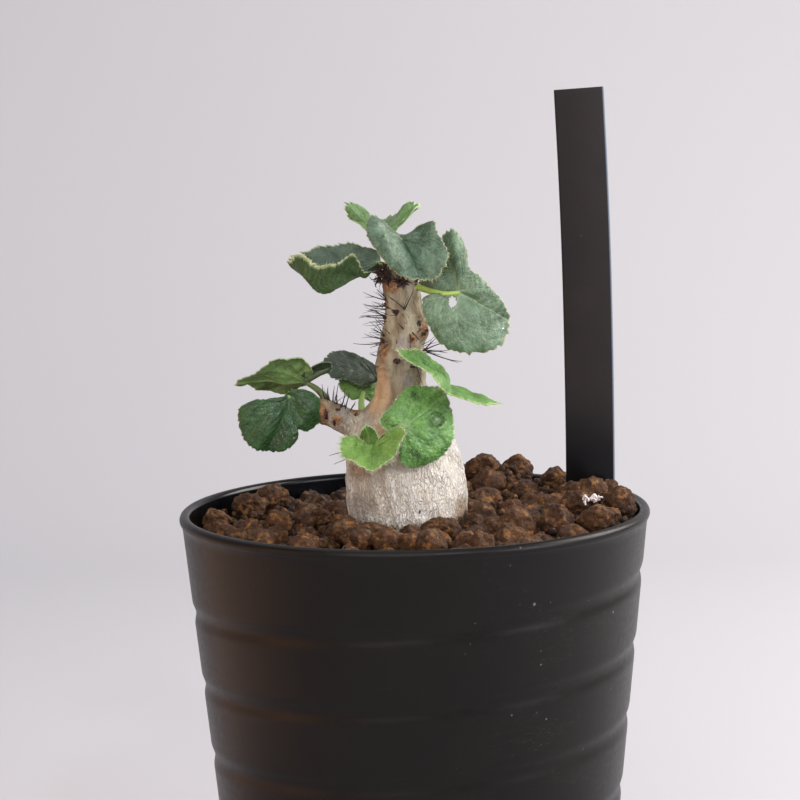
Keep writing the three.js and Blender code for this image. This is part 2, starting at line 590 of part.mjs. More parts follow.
/** The label, thicker by grow all over. */
function labelBody(grow = 0) {
  const spine = new THREE.CatmullRomCurve3(LABEL_SPINE.map(([x, z]) => new THREE.Vector3(x, LABEL_DEPTH, z)));
  const across = new THREE.Vector3(Math.cos(LABEL_YAW), Math.sin(LABEL_YAW), 0);
  const out = new THREE.Vector3(Math.sin(LABEL_YAW), -Math.cos(LABEL_YAW), 0);
  const foot = LABEL_SPINE[0][1];
  const half = LABEL_THICKNESS / 2 + grow;
  const rings = [];
  for (let i = 0; i <= LABEL_STEPS; i += 1) {
    const centre = spine.getPoint(i / LABEL_STEPS);
    const share = Math.min(1, (centre.z - foot) / LABEL_POINT_HEIGHT);
    const width = Math.max(LABEL_TIP_HALF_WIDTH, (LABEL_WIDTH / 2) * Math.sqrt(share)) + grow;
    const slant = i === LABEL_STEPS ? LABEL_TOP_SLANT / 2 : 0;
    const lift = (i === 0 ? -grow : 0) + (i === LABEL_STEPS ? grow : 0);
    rings.push([[-1, -1], [1, -1], [1, 1], [-1, 1]].map(([u, v]) => {
      const corner = centre.clone().addScaledVector(across, u * width).addScaledVector(out, -v * half);
      corner.z += u * slant + lift;
      return corner;
    }));
  }
  return skin(rings);
}

// Soil
// The granules that stand out, as [x, y, height of the top, radius].
const LARGE_GRAINS = [
  [-32.7, 17.8, 90.1, 3.2], [-28.5, 22, 91.1, 3.2], [-26.4, -0.6, 89.6, 3.1], [-31.2, -2, 88.3, 2.6],
  [-38.6, 8.3, 88.9, 2.7], [-20.5, -11.5, 88.5, 2.1], [-18.5, 8.3, 88.3, 2.3], [-14.2, -8.1, 89.8, 3.6],
  [-7.5, -16.1, 90.2, 3.5], [-1, -15.7, 89.3, 2.8], [4.8, -12.5, 90.6, 3.4], [10.8, -8, 89.9, 2.6],
  [14, 7.8, 91.8, 3.3], [18.6, 0.6, 91, 2.7], [22.3, 12.6, 92.4, 3.4], [18.6, -14.1, 91.9, 4.3],
  [26.6, -12.2, 92, 3.4], [31.6, -2.3, 92.8, 3.1], [34.4, -14.3, 92.4, 3.4], [38.8, -4, 93.6, 3],
  [13.7, 22.4, 96.6, 3.8], [21.4, 30.5, 94.9, 3.5], [18.7, 19, 93.2, 2.4], [29, 25.3, 92.7, 3.3],
  [36, 14, 92.5, 2.8], [-20, 34, 89.4, 3.5], [-14.6, 29.8, 89.9, 3.3],
  [-12.5, -12.5, 90.4, 3.2], [-37.4, -3, 88.8, 2.7], [-33.4, -14, 89, 2.5], [-28.2, -20, 89.6, 2.5],
  [-20.5, -21, 89, 2.8], [-10.7, -19.5, 89.8, 2.7], [-5.2, -20.5, 90, 2.9], [2.6, -26, 89.8, 2.7],
  [11.6, -27, 89.9, 2.7], [31, 7, 93.6, 2.6], [34.7, 5.5, 94, 2.5], [38, 8, 93.2, 2.3], [28.2, 14, 94.8, 2.5],
];

// Mounds and hollows in the soil, as [x, y, width, height].
const HEAPS = [
  [14, 24, 8, 7.2], [30, 6, 13, 3.6], [-30, 20, 8, 1.6], [0, -14, 12, 1],
  [-30, -24, 14, -1.6], [4, -40, 16, -1.2],
];
const BED_RINGS = 5;
const BED_SIDES = 24;
const SOIL_ROOM = 20;            // how far above the rim the granules may stand

/** Height of the grain tops above the table. */
function soilTop(x, y) {
  return HEAPS.reduce((sum, [cx, cy, width, height]) => {
    const apart = ((x - cx) ** 2 + (y - cy) ** 2) / (2 * width ** 2);
    return sum + height * Math.exp(-apart);
  }, SOIL_LEVEL + SOIL_TILT * x);
}

/** How much a granule is stretched along and across, and flattened. */
function grainStretch(index) {
  return new THREE.Vector3(
    GRAIN_LEAST + GRAIN_RANGE * draw(index, SALT.length),
    GRAIN_LEAST + GRAIN_RANGE * draw(index, SALT.width),
    GRAIN_LEAST_HEIGHT + GRAIN_HEIGHT_RANGE * draw(index, SALT.height),
  );
}

/** One granule: a stretched and turned icosahedron, with a longer buried half. */
function grain(x, y, top, radius, index) {
  const geometry = new THREE.IcosahedronGeometry(radius * GRAIN_FULLNESS, 0);
  const stretch = grainStretch(index);
  geometry.scale(stretch.x, stretch.y, stretch.z);
  geometry.rotateZ(2 * Math.PI * draw(index, SALT.turn));
  geometry.rotateX(GRAIN_TIP * (draw(index, SALT.tip) - 0.5));
  const corners = geometry.attributes.position;
  for (let i = 0; i < corners.count; i += 1) {
    if (corners.getZ(i) < 0) corners.setZ(i, corners.getZ(i) * GRAIN_ROOT);
  }
  geometry.translate(x, y, top - radius * stretch.z);
  return geometry;
}

const TRUNK_AXIS = [-1.4, 0.5];

/** The granules: the large ones, then a sunflower spread between them, clear of the trunk's core. */
function grains() {
  const golden = Math.PI * (3 - Math.sqrt(5));
  const list = LARGE_GRAINS.map(([x, y, top, radius], i) => grain(x, y, top, radius, GRAIN_COUNT + i));
  for (let i = 0; i < GRAIN_COUNT; i += 1) {
    const reach = GRAIN_SPREAD * Math.sqrt((i + 0.5) / GRAIN_COUNT);
    const angle = i * golden;
    const x = reach * Math.cos(angle) + GRAIN_JITTER * (draw(i, SALT.x) - 0.5);
    const y = reach * Math.sin(angle) + GRAIN_JITTER * (draw(i, SALT.y) - 0.5);
    const radius = GRAIN_RADIUS + GRAIN_EXTRA_RADIUS * draw(i, SALT.radius) ** 2;
    const fromTrunk = Math.hypot(x - TRUNK_AXIS[0], y - TRUNK_AXIS[1]);
    const room = GRAIN_CROWDING * radius;
    const crowded = LARGE_GRAINS.some(([lx, ly, , large]) => Math.hypot(x - lx, y - ly) < large + room);
    if (fromTrunk < TRUNK_CLEARANCE || crowded) continue;
    const top = soilTop(x, y) + GRAIN_UNEVENNESS * (draw(i, SALT.lift) - GRAIN_SINK);
    list.push(grain(x, y, top, radius, i));
  }
  return list;
}

/** The filled bed under the granules, with a wavy top. */
function soilBed() {
  const floor = POT_FOOT_HEIGHT + POT_FLOOR + GAP;
  const bedTop = SOIL_LEVEL - SOIL_CORE_DROP;
  const reachAt = (z) => potInner(z) - GAP;
  const angles = Array.from({ length: BED_SIDES }, (_, k) => (2 * Math.PI * k) / BED_SIDES);
  const points = [new THREE.Vector3(0, 0, floor)];
  for (const angle of angles) {
    points.push(new THREE.Vector3(reachAt(floor) * Math.cos(angle), reachAt(floor) * Math.sin(angle), floor));
  }
  for (let ring = BED_RINGS; ring >= 1; ring -= 1) {
    for (const angle of angles) {
      const x = ((reachAt(bedTop) * ring) / BED_RINGS) * Math.cos(angle);
      const y = ((reachAt(bedTop) * ring) / BED_RINGS) * Math.sin(angle);
      points.push(new THREE.Vector3(x, y, soilTop(x, y) - SOIL_CORE_DROP));
    }
  }
  points.push(new THREE.Vector3(0, 0, soilTop(0, 0) - SOIL_CORE_DROP));
  const middle = points.length - 1;
  const innermost = 1 + BED_RINGS * BED_SIDES;
  const triangles = [];
  for (let k = 0; k < BED_SIDES; k += 1) {
    const next = (k + 1) % BED_SIDES;
    triangles.push([0, 1 + next, 1 + k], [middle, innermost + k, innermost + next]);
    for (let ring = 0; ring < BED_RINGS; ring += 1) {
      const a = 1 + ring * BED_SIDES + k;
      const b = 1 + ring * BED_SIDES + next;
      triangles.push([a, b, b + BED_SIDES], [a, b + BED_SIDES, a + BED_SIDES]);
    }
  }
  return fromTriangles(points, triangles);
}

/** The space inside the pot and above its rim, which the soil stays in. */
function soilRoom() {
  const floor = POT_FOOT_HEIGHT + POT_FLOOR;
  const lip = POT_HEIGHT + GAP;
  return turned([
    [0, floor], [potInner(floor) - GAP, floor], [Math.min(potInner(lip), POT_RIM_INNER_RADIUS) - GAP, lip],
    [POT_RIM_RADIUS - GAP, lip + GAP], [POT_RIM_RADIUS - GAP, lip + SOIL_ROOM], [0, lip + SOIL_ROOM],
  ], POT_SEGMENTS);
}

function soil() {
  const whole = wasm.Manifold.union([soilBed(), ...grains()].map(toSolid));
  const kept = whole.intersect(toSolid(soilRoom()));
  return toGeometry(kept.subtract(woodKeepOut).subtract(toSolid(labelBody(GAP))));
}

// Assembly
const woodKeepOut = wasm.Manifold.union([bareBody(GAP), ...knobs(GAP)]);

const finishes = {
  pot: new THREE.MeshStandardMaterial({ color: 0x1d1a18, roughness: 0.42, metalness: 0 }),
  soil: new THREE.MeshStandardMaterial({ color: 0x6b452b, roughness: 0.95, metalness: 0 }),
  wood: new THREE.MeshStandardMaterial({ color: 0xc4b6a0, roughness: 0.7, metalness: 0 }),
  label: new THREE.MeshStandardMaterial({ color: 0x2c2624, roughness: 0.45, metalness: 0 }),
};

/** The satin finish of a leaf in its own colour. */
function leafFinish(colour) {
  return new THREE.MeshStandardMaterial({ color: colour, roughness: 0.5, metalness: 0 });
}

const plant = new THREE.Group();

/** Adds one named piece. */
function addPiece(name, geometry, material) {
  const mesh = new THREE.Mesh(geometry, material);
  mesh.name = name;
  plant.add(mesh);
}

addPiece("pot", pot(), finishes.pot);
addPiece("soil", soil(), finishes.soil);
addPiece("plant_body", plantBody(), finishes.wood);
addPiece("plant_label", labelBody(), finishes.label);
for (const leaf of LEAVES) {
  addPiece(leaf.name, toGeometry(leafSolid(leaf)), leafFinish(leaf.colour));
}

export default plant;
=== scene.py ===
"""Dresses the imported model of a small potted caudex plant.

The wood, its bristles, the leaves with their hairs and water drops, the granular soil, the grooved pot
and the bare label are built here as fine meshes with procedural finishes. Lengths in the classes are
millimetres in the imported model's own frame, and they become metres where a mesh is made.
"""
from __future__ import annotations

import json
import logging
import math
from collections.abc import Sequence
from dataclasses import dataclass, field
from enum import Enum, IntEnum

import bpy
import numpy as np
from mathutils import Matrix, Vector

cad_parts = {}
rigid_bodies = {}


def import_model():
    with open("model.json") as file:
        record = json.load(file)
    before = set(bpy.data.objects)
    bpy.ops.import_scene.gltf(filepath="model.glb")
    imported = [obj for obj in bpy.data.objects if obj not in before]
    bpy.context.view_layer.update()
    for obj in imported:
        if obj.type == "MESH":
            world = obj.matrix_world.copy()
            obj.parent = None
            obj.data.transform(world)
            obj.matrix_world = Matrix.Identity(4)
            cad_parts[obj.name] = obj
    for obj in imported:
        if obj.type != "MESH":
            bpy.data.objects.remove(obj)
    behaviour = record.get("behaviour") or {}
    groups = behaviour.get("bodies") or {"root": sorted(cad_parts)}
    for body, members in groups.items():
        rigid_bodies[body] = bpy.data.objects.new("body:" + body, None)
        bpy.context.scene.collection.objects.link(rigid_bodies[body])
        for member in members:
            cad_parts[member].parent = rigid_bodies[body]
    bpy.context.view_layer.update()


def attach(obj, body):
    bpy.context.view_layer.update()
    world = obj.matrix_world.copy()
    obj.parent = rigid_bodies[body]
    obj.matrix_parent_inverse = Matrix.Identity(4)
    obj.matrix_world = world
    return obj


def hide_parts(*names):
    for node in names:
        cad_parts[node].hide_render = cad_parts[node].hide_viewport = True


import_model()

LOG = logging.getLogger("caudex_plant")
MM = 0.001                       # metres in a millimetre
BODY = "root"                    # the one body that every piece rides on

Array = np.ndarray
Point = tuple[float, float, float]
Strand = tuple[Array, Array]     # a strand's points, and the radius at each
UPRIGHT: Point = (1.0, 1.0, 0.34)    # how the bark's wrinkles are drawn out along the wood


# Numbers, colours and curves


def linear(code: str) -> tuple[float, float, float, float]:
    """Turns a screen colour into the scene's linear colour.

    Args:
        code: six hexadecimal digits, red first.

    Returns:
        Red, green, blue and an alpha of one.
    """
    parts = [int(code[i:i + 2], 16) / 255 for i in (0, 2, 4)]
    red, green, blue = (p / 12.92 if p <= 0.04045 else ((p + 0.055) / 1.055) ** 2.4 for p in parts)
    return red, green, blue, 1.0


def draw(index: float, salt: float) -> float:
    """Gives a repeatable number from 0 to 1, the same as in the part's source.

    Args:
        index: counter of the thing that is drawn.
        salt: keeps the draws for different uses apart.

    Returns:
        The number.
    """
    value = math.sin(index * 12.9898 + salt * 78.233 + 4.137) * 43758.5453
    return value - math.floor(value)


def smooth_step(low: float, high: float, value: Array) -> Array:
    """Eases from 0 at low to 1 at high."""
    share = np.clip((value - low) / (high - low), 0.0, 1.0)
    return share * share * (3 - 2 * share)


def unit(vectors: Array) -> Array:
    """Scales each vector to length one."""
    return vectors / np.maximum(np.linalg.norm(vectors, axis=-1, keepdims=True), 1e-9)


def unevenness(points: Array, size: float, salt: int, waves: int = 9) -> Array:
    """Gives smooth, irregular heights.

    Args:
        points: places in space.
        size: usual distance from crest to crest.
        salt: makes one set of heights differ from another.
        waves: plane waves that are added up.

    Returns:
        Heights, mostly between -1 and 1.
    """
    total = np.zeros(points.shape[:-1])
    for k in range(waves):
        way = unit(np.array([draw(salt + k, s) - 0.5 for s in (1, 2, 3)]))
        length = size * (0.7 + 0.7 * draw(salt + k, 4))
        total += np.sin(points @ way * (2 * math.pi / length) + 2 * math.pi * draw(salt + k, 5))
    return total / math.sqrt(waves)


def hermite(start: Array, end: Array, leave: Array, arrive: Array, share: Array) -> Array:
    """Blends two points and two tangents.

    Args:
        start: points at share 0.
        end: points at share 1.
        leave: tangents at share 0.
        arrive: tangents at share 1.
        share: column of shares between the points.

    Returns:
        The points in between.
    """
    second = -3 * start + 3 * end - 2 * leave - arrive
    third = 2 * start - 2 * end + leave + arrive
    return start + leave * share + second * share ** 2 + third * share ** 3


def closed_curve(points: Array, shares: Array) -> Array:
    """Follows a closed curve through points, with even steps from point to point.

    Args:
        points: control points, one a row.
        shares: places on the curve from 0 to 1.

    Returns:
        One row for each share.
    """
    count = len(points)
    place = shares * count
    first = np.floor(place).astype(int)
    before, start, end, after = (points[(first + k) % count] for k in (-1, 0, 1, 2))
    return hermite(start, end, 0.5 * (end - before), 0.5 * (after - start), (place - first)[:, None])


def open_curve(points: Array, shares: Array) -> Array:
    """Follows an open curve through points without overshoot.

    Args:
        points: control points, one a row.
        shares: places on the curve from 0 to 1.

    Returns:
        One row for each share.
    """
    padded = np.vstack([2 * points[0] - points[1], points, 2 * points[-1] - points[-2]])
    place = shares * (len(points) - 1)
    first = np.minimum(np.floor(place).astype(int), len(points) - 2)
    before, start, end, after = (padded[first + k] for k in range(4))
    spans = [np.sqrt(np.linalg.norm(b - a, axis=1, keepdims=True))
             for a, b in ((before, start), (start, end), (end, after))]
    lead, middle, tail = (np.maximum(span, 1e-4) for span in spans)
    leave = (start - before) / lead - (end - before) / (lead + middle) + (end - start) / middle
    arrive = (end - start) / middle - (after - start) / (middle + tail) + (after - end) / tail
    return hermite(start, end, leave * middle, arrive * middle, (place - first)[:, None])


# Meshes


@dataclass
class Skin:
    """Points, faces and named point values of a mesh that is being made, in millimetres."""

    points: list[Array] = field(default_factory=list)
    faces: list[Array] = field(default_factory=list)
    values: dict[str, list[Array]] = field(default_factory=dict)
    count: int = 0

    def add(self, points: Array, faces: Sequence[Sequence[int]] | Array, **values: Array | float) -> None:
        """Adds points and faces that count from the first of them.

        Args:
            points: rows of x, y, z.
            faces: triangles or four-sided faces.
            **values: a number for each point, or one for all of them.
        """
        points = np.asarray(points, dtype=float).reshape(-1, 3)
        self.faces.append(np.asarray(faces, dtype=int) + self.count)
        self.points.append(points)
        for name, value in values.items():
            column = np.broadcast_to(np.asarray(value, dtype=float).reshape(-1), (len(points),))
            self.values.setdefault(name, []).append(column)
        self.count += len(points)

    def mesh(self, name: str) -> bpy.types.Mesh:
        """Makes the Blender mesh, in metres.

        Args:
            name: name of the mesh.

        Returns:
            The mesh, with each named value as a point attribute.
        """
        mesh = bpy.data.meshes.new(name)
        faces = [face for part in self.faces for face in part.tolist()]
        mesh.from_pydata((np.vstack(self.points) * MM).tolist(), [], faces)
        for key, parts in self.values.items():
            layer = mesh.attributes.new(key, "FLOAT", "POINT")
            layer.data.foreach_set("value", np.concatenate(parts).astype(np.float32))
        mesh.validate()
        mesh.update()
        return mesh


def tube_faces(rings: int, sides: int, closed_ends: bool = True) -> list[list[int]]:
    """Lists the faces of a tube of rings, the points of each ring one after another.

    Args:
        rings: number of rings.
        sides: points in each ring, anticlockwise as seen from the far end.
        closed_ends: whether the first and the last ring get a face.

    Returns:
        Four-sided faces, and triangles at the ends.
    """
    faces: list[list[int]] = []
    for i in range(rings - 1):
        for k in range(sides):
            a, b = i * sides + k, i * sides + (k + 1) % sides
            faces.append([a, b, b + sides, a + sides])
    return faces + (cap_faces(rings, sides) if closed_ends else [])


def cap_faces(rings: int, sides: int) -> list[list[int]]:
    """Lists one many-sided face for each end of a tube."""
    last = (rings - 1) * sides
    return [list(range(sides))[::-1], list(range(last, last + sides))]


def add_tube(skin: Skin, rings: Array, **values: Array | float) -> None:
    """Adds a closed tube.

    Args:
        skin: mesh to add to.
        rings: array of rings, points of a ring, coordinates.
        **values: point values.
    """
    count, sides = rings.shape[:2]
    first = skin.count
    skin.add(rings.reshape(-1, 3), tube_faces(count, sides, closed_ends=False), **values)
    skin.faces.append(np.array([cap_faces(count, sides)[0]]) + first)
    skin.faces.append(np.array([cap_faces(count, sides)[1]]) + first)


def finished(name: str, mesh: bpy.types.Mesh, replaces: Sequence[str] = (),
             material: bpy.types.Material | None = None) -> bpy.types.Object:
    """Makes a mesh a piece of the part.

    Args:
        name: the piece's name.
        mesh: its mesh, in metres and in place.
        replaces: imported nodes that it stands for.
        material: its finish, where the mesh doesn't hold it yet.

    Returns:
        The piece, smooth shaded and riding on the part's body.
    """
    piece = bpy.data.objects.new(name, mesh)
    bpy.context.scene.collection.objects.link(piece)
    if material is not None:
        mesh.materials.clear()
        mesh.materials.append(material)
    mesh.shade_smooth()
    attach(piece, BODY)
    if replaces:
        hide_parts(*replaces)
    LOG.info("%s: %d faces", name, len(mesh.polygons))
    return piece


# Node trees


class Sheet:
    """A node tree that is being drawn: it adds nodes, sets their sockets and links them."""

    def __init__(self, tree: bpy.types.NodeTree) -> None:
        """Starts on a tree, as empty as it is."""
        self.tree = tree

    def node(self, kind: str, inputs: dict[str | int, object] | None = None,
             **settings: object) -> bpy.types.Node:
        """Adds a node.

        Args:
            kind: the node's type.
            inputs: what each socket gets, a socket to link or a value to set.
            **settings: the node's own settings.

        Returns:
            The node.
        """
        made = self.tree.nodes.new(kind)
        for name, value in settings.items():
            setattr(made, name, value)
        for key, value in (inputs or {}).items():
            if isinstance(value, bpy.types.NodeSocket):
                self.tree.links.new(value, made.inputs[key])
            elif value is not None:
                made.inputs[key].default_value = value
        return made

    def math(self, operation: str, first: object, second: object = None) -> bpy.types.NodeSocket:
        """Adds a sum of one or two numbers and returns its output."""
        return self.node("ShaderNodeMath", {0: first, 1: second}, operation=operation).outputs[0]

    def times(self, first: object, second: object) -> bpy.types.NodeSocket:
        """Multiplies two numbers and returns the result."""
        return self.math("MULTIPLY", first, second)

    def scaled(self, vector: object, share: object) -> bpy.types.NodeSocket:
        """Multiplies a vector by a number and returns the result."""
        return self.node("ShaderNodeVectorMath", {0: vector, "Scale": share}, operation="SCALE").outputs[0]

    def vectors(self, operation: str, first: object, second: object) -> bpy.types.NodeSocket:
        """Adds a sum of two vectors and returns its output."""
        return self.node("ShaderNodeVectorMath", {0: first, 1: second}, operation=operation).outputs[0]

    def tint(self, colour: object, mask: object, share: float, code: str) -> bpy.types.NodeSocket:
        """Lays a screen colour on another by a share of a mask and returns the result."""
        return self.mix(self.times(mask, share), colour, linear(code))

    def mix(self, share: object, low: object, high: object) -> bpy.types.NodeSocket:
        """Mixes two colours and returns the result."""
        made = self.node("ShaderNodeMix", {0: share, 6: low, 7: high}, data_type="RGBA")
        return made.outputs[2]

    def shade(self, share: object, colour: object, other: object) -> bpy.types.NodeSocket:
        """Multiplies a colour by another.

        Args:
            share: how much of it is done, from 0 to 1.
            colour: the colour.
            other: what it is multiplied by.

        Returns:
            The result.
        """
        made = self.node("ShaderNodeMix", {0: share, 6: colour, 7: other}, data_type="RGBA",
                         blend_type="MULTIPLY")
        return made.outputs[2]

    def ease(self, value: object, low: float, high: float, start: float = 0.0,
             end: float = 1.0) -> bpy.types.NodeSocket:
        """Eases a value's stretch into another.

        Args:
            value: the value.
            low: start of its stretch.
            high: end of its stretch.
            start: what low becomes.
            end: what high becomes.

        Returns:
            The result.
        """
        inputs = {"Value": value, "From Min": low, "From Max": high, "To Min": start, "To Max": end}
        made = self.node("ShaderNodeMapRange", inputs, interpolation_type="SMOOTHSTEP")
        return made.outputs["Result"]

    def place(self, stretch: Point = (1.0, 1.0, 1.0)) -> bpy.types.NodeSocket:
        """Gives the object's own coordinates in millimetres.

        Args:
            stretch: what each axis is multiplied by.

        Returns:
            The coordinates.
        """
        coordinates = self.node("ShaderNodeTexCoord").outputs["Object"]
        scale = tuple(s / MM for s in stretch)
        return self.node("ShaderNodeMapping", {"Vector": coordinates, "Scale": scale}).outputs["Vector"]

    def noise(self, vector: object, scale: float, detail: float = 2.0, roughness: float = 0.5,
              distortion: float = 0.0) -> bpy.types.NodeSocket:
        """Adds a noise.

        Args:
            vector: where it is read.
            scale: its fineness.
            detail: how many finer noises lie on it.
            roughness: how strong those are.
            distortion: how far it is twisted.

        Returns:
            Its value.
        """
        inputs = {"Vector": vector, "Scale": scale, "Detail": detail, "Roughness": roughness,
                  "Distortion": distortion}
        return self.node("ShaderNodeTexNoise", inputs).outputs[0]

    def cells(self, vector: object, scale: object, feature: str = "F1") -> bpy.types.Node:
        """Adds a pattern of cells and returns its node."""
        return self.node("ShaderNodeTexVoronoi", {"Vector": vector, "Scale": scale}, feature=feature)

    def value(self, name: str) -> bpy.types.NodeSocket:
        """Returns a named point value of the mesh."""
        return self.node("ShaderNodeAttribute", attribute_name=name).outputs["Fac"]

    def group(self, tree: bpy.types.NodeTree, inputs: dict[str, object]) -> bpy.types.Node:
        """Adds a node group with its inputs set and returns its node."""
        return self.node("ShaderNodeGroup", inputs, node_tree=tree)


class SocketKind(Enum):
    """The kinds of sockets that the trees here have."""

    NUMBER = "NodeSocketFloat"
    WHOLE = "NodeSocketInt"
    VECTOR = "NodeSocketVector"
    SHAPE = "NodeSocketGeometry"
    MATERIAL = "NodeSocketMaterial"
    COLLECTION = "NodeSocketCollection"


def new_tree(name: str, kind: str, inputs: dict[str, SocketKind],
             outputs: dict[str, SocketKind]) -> tuple[Sheet, bpy.types.Node, bpy.types.Node]:
    """Makes a node group with named sockets.

    Args:
        name: the group's name.
        kind: the tree's type.
        inputs: its inputs in order.
        outputs: its outputs in order.

    Returns:
        The sheet to draw on, the group's input node and its output node.
    """
    tree = bpy.data.node_groups.new(name, kind)
    for socket, sort in inputs.items():
        tree.interface.new_socket(socket, in_out="INPUT", socket_type=sort.value)
    for socket, sort in outputs.items():
        tree.interface.new_socket(socket, in_out="OUTPUT", socket_type=sort.value)
    sheet = Sheet(tree)
    return sheet, sheet.node("NodeGroupInput"), sheet.node("NodeGroupOutput")


def shape_tree(name: str, inputs: dict[str, SocketKind]) -> tuple[Sheet, bpy.types.Node, bpy.types.Node]:
    """Makes a Geometry Nodes tree with a shape going in and out, and further inputs."""
    shape = {"Geometry": SocketKind.SHAPE}
    return new_tree(name, "GeometryNodeTree", {**shape, **inputs}, shape)


def dressed_tree(sheet: Sheet, shape: bpy.types.Node, entry: bpy.types.Node,
                 leave: bpy.types.Node) -> bpy.types.NodeTree:
    """Ends a Geometry Nodes tree: the shape is made real and gets its material.

    Args:
        sheet: the tree's sheet.
        shape: the node whose first output is the shape.
        entry: the tree's input node, with Material.
        leave: the tree's output node.

    Returns:
        The tree.
    """
    real = sheet.node("GeometryNodeRealizeInstances", {"Geometry": shape.outputs[0]})
    dressed = sheet.node("GeometryNodeSetMaterial", {
        "Geometry": real.outputs[0], "Material": entry.outputs["Material"]})
    sheet.tree.links.new(dressed.outputs[0], leave.inputs[0])
    return sheet.tree


def grown(name: str, tree: bpy.types.NodeTree, mesh: bpy.types.Mesh,
          inputs: dict[str, object]) -> bpy.types.Mesh:
    """Runs a Geometry Nodes tree on a mesh and keeps the result as a plain mesh.

    Args:
        name: name of the new mesh.
        tree: the Geometry Nodes tree.
        mesh: what it starts from.
        inputs: the tree's inputs by their names.

    Returns:
        The new mesh.
    """
    carrier = bpy.data.objects.new(name + "_start", mesh)
    bpy.context.scene.collection.objects.link(carrier)
    modifier = carrier.modifiers.new("growth", "NODES")
    modifier.node_group = tree
    for socket in tree.interface.items_tree:
        if socket.in_out == "INPUT" and socket.name in inputs:
            modifier[socket.identifier] = inputs[socket.name]
    graph = bpy.context.evaluated_depsgraph_get()
    result = bpy.data.meshes.new_from_object(carrier.evaluated_get(graph), depsgraph=graph)
    carrier.modifiers.remove(modifier)
    bpy.data.objects.remove(carrier)
    result.name = name
    return result


# Effects that several finishes share


class Effects:
    """The shader groups, each built once."""

    def __init__(self) -> None:
        """Builds the groups."""
        self.specks = self._specks()
        self.mottle = self._mottle()
        self.cracks = self._cracks()

    @staticmethod
    def _specks() -> bpy.types.NodeTree:
        """Sparse dots of dust or pores: the share of cells that hold one, and their size, are inputs.

        Returns:
            The group.
        """
        inputs = {"Vector": SocketKind.VECTOR, "Scale": SocketKind.NUMBER, "Share": SocketKind.NUMBER,
                  "Size": SocketKind.NUMBER}
        sheet, entry, leave = new_tree("Specks", "ShaderNodeTree", inputs, {"Mask": SocketKind.NUMBER})
        cells = sheet.cells(entry.outputs["Vector"], entry.outputs["Scale"])
        chosen = sheet.node("ShaderNodeSeparateColor", {0: cells.outputs["Color"]})
        kept = sheet.math("LESS_THAN", chosen.outputs[0], entry.outputs["Share"])
        size = sheet.times(entry.outputs["Size"], chosen.outputs[1])
        inside = sheet.math("SUBTRACT", size, cells.outputs["Distance"])
        soft = sheet.node("ShaderNodeMath", {0: sheet.times(inside, 12.0), 1: 0.0},
                          operation="ADD", use_clamp=True).outputs[0]
        sheet.tree.links.new(sheet.times(soft, kept), leave.inputs["Mask"])
        return sheet.tree

    @staticmethod
    def _mottle() -> bpy.types.NodeTree:
        """Uneven tone: broad clouds with finer ones on them, and the finer ones alone.

        Returns:
            The group.
        """
        inputs = {"Vector": SocketKind.VECTOR, "Broad": SocketKind.NUMBER, "Fine": SocketKind.NUMBER,
                  "Balance": SocketKind.NUMBER}
        outputs = {"Tone": SocketKind.NUMBER, "Fine": SocketKind.NUMBER}
        sheet, entry, leave = new_tree("Mottle", "ShaderNodeTree", inputs, outputs)
        vector = entry.outputs["Vector"]
        broad = sheet.noise(vector, entry.outputs["Broad"], 3.0)
        fine = sheet.noise(vector, entry.outputs["Fine"], 4.0, 0.6)
        both = sheet.node("ShaderNodeMix", {0: entry.outputs["Balance"], 2: broad, 3: fine})
        sheet.tree.links.new(sheet.ease(both.outputs[0], 0.3, 0.7), leave.inputs["Tone"])
        sheet.tree.links.new(fine, leave.inputs["Fine"])
        return sheet.tree

    @staticmethod
    def _cracks() -> bpy.types.NodeTree:
        """A net of fine cracks between small plates: the mask of the cracks, and the plates' height.

        Returns:
            The group.
        """
        inputs = {"Vector": SocketKind.VECTOR, "Scale": SocketKind.NUMBER, "Wander": SocketKind.NUMBER,
                  "Width": SocketKind.NUMBER}
        outputs = {"Mask": SocketKind.NUMBER, "Height": SocketKind.NUMBER}
        sheet, entry, leave = new_tree("Cracks", "ShaderNodeTree", inputs, outputs)
        vector = entry.outputs["Vector"]
        drift = sheet.node("ShaderNodeTexNoise", {"Vector": vector, "Scale": 0.9, "Detail": 3.0})
        push = sheet.scaled(drift.outputs["Color"], entry.outputs["Wander"])
        net = sheet.cells(sheet.vectors("ADD", vector, push), entry.outputs["Scale"], "DISTANCE_TO_EDGE")
        share = sheet.math("DIVIDE", net.outputs["Distance"], entry.outputs["Width"])
        height = sheet.ease(share, 0.0, 1.0)
        sheet.tree.links.new(sheet.math("SUBTRACT", 1.0, height), leave.inputs["Mask"])
        sheet.tree.links.new(height, leave.inputs["Height"])
        return sheet.tree


@dataclass(frozen=True)
class Gloss:
    """The numbers of a surface that are the same all over it."""

    specular: float = 0.5
    sheen: float = 0.0
    sheen_roughness: float = 0.5
    subsurface: float = 0.0
    subsurface_radius: Point = (1.0, 1.0, 1.0)
    subsurface_depth: float = 0.0        # millimetres
    coat: float = 0.0
    coat_roughness: float = 0.1


def new_material(name: str) -> tuple[bpy.types.Material, Sheet]:
    """Makes an empty material.

    Args:
        name: its name.

    Returns:
        The material, and the sheet to draw it on.
    """
    material = bpy.data.materials.new(name)
    material.use_nodes = True
    material.node_tree.nodes.clear()
    return material, Sheet(material.node_tree)


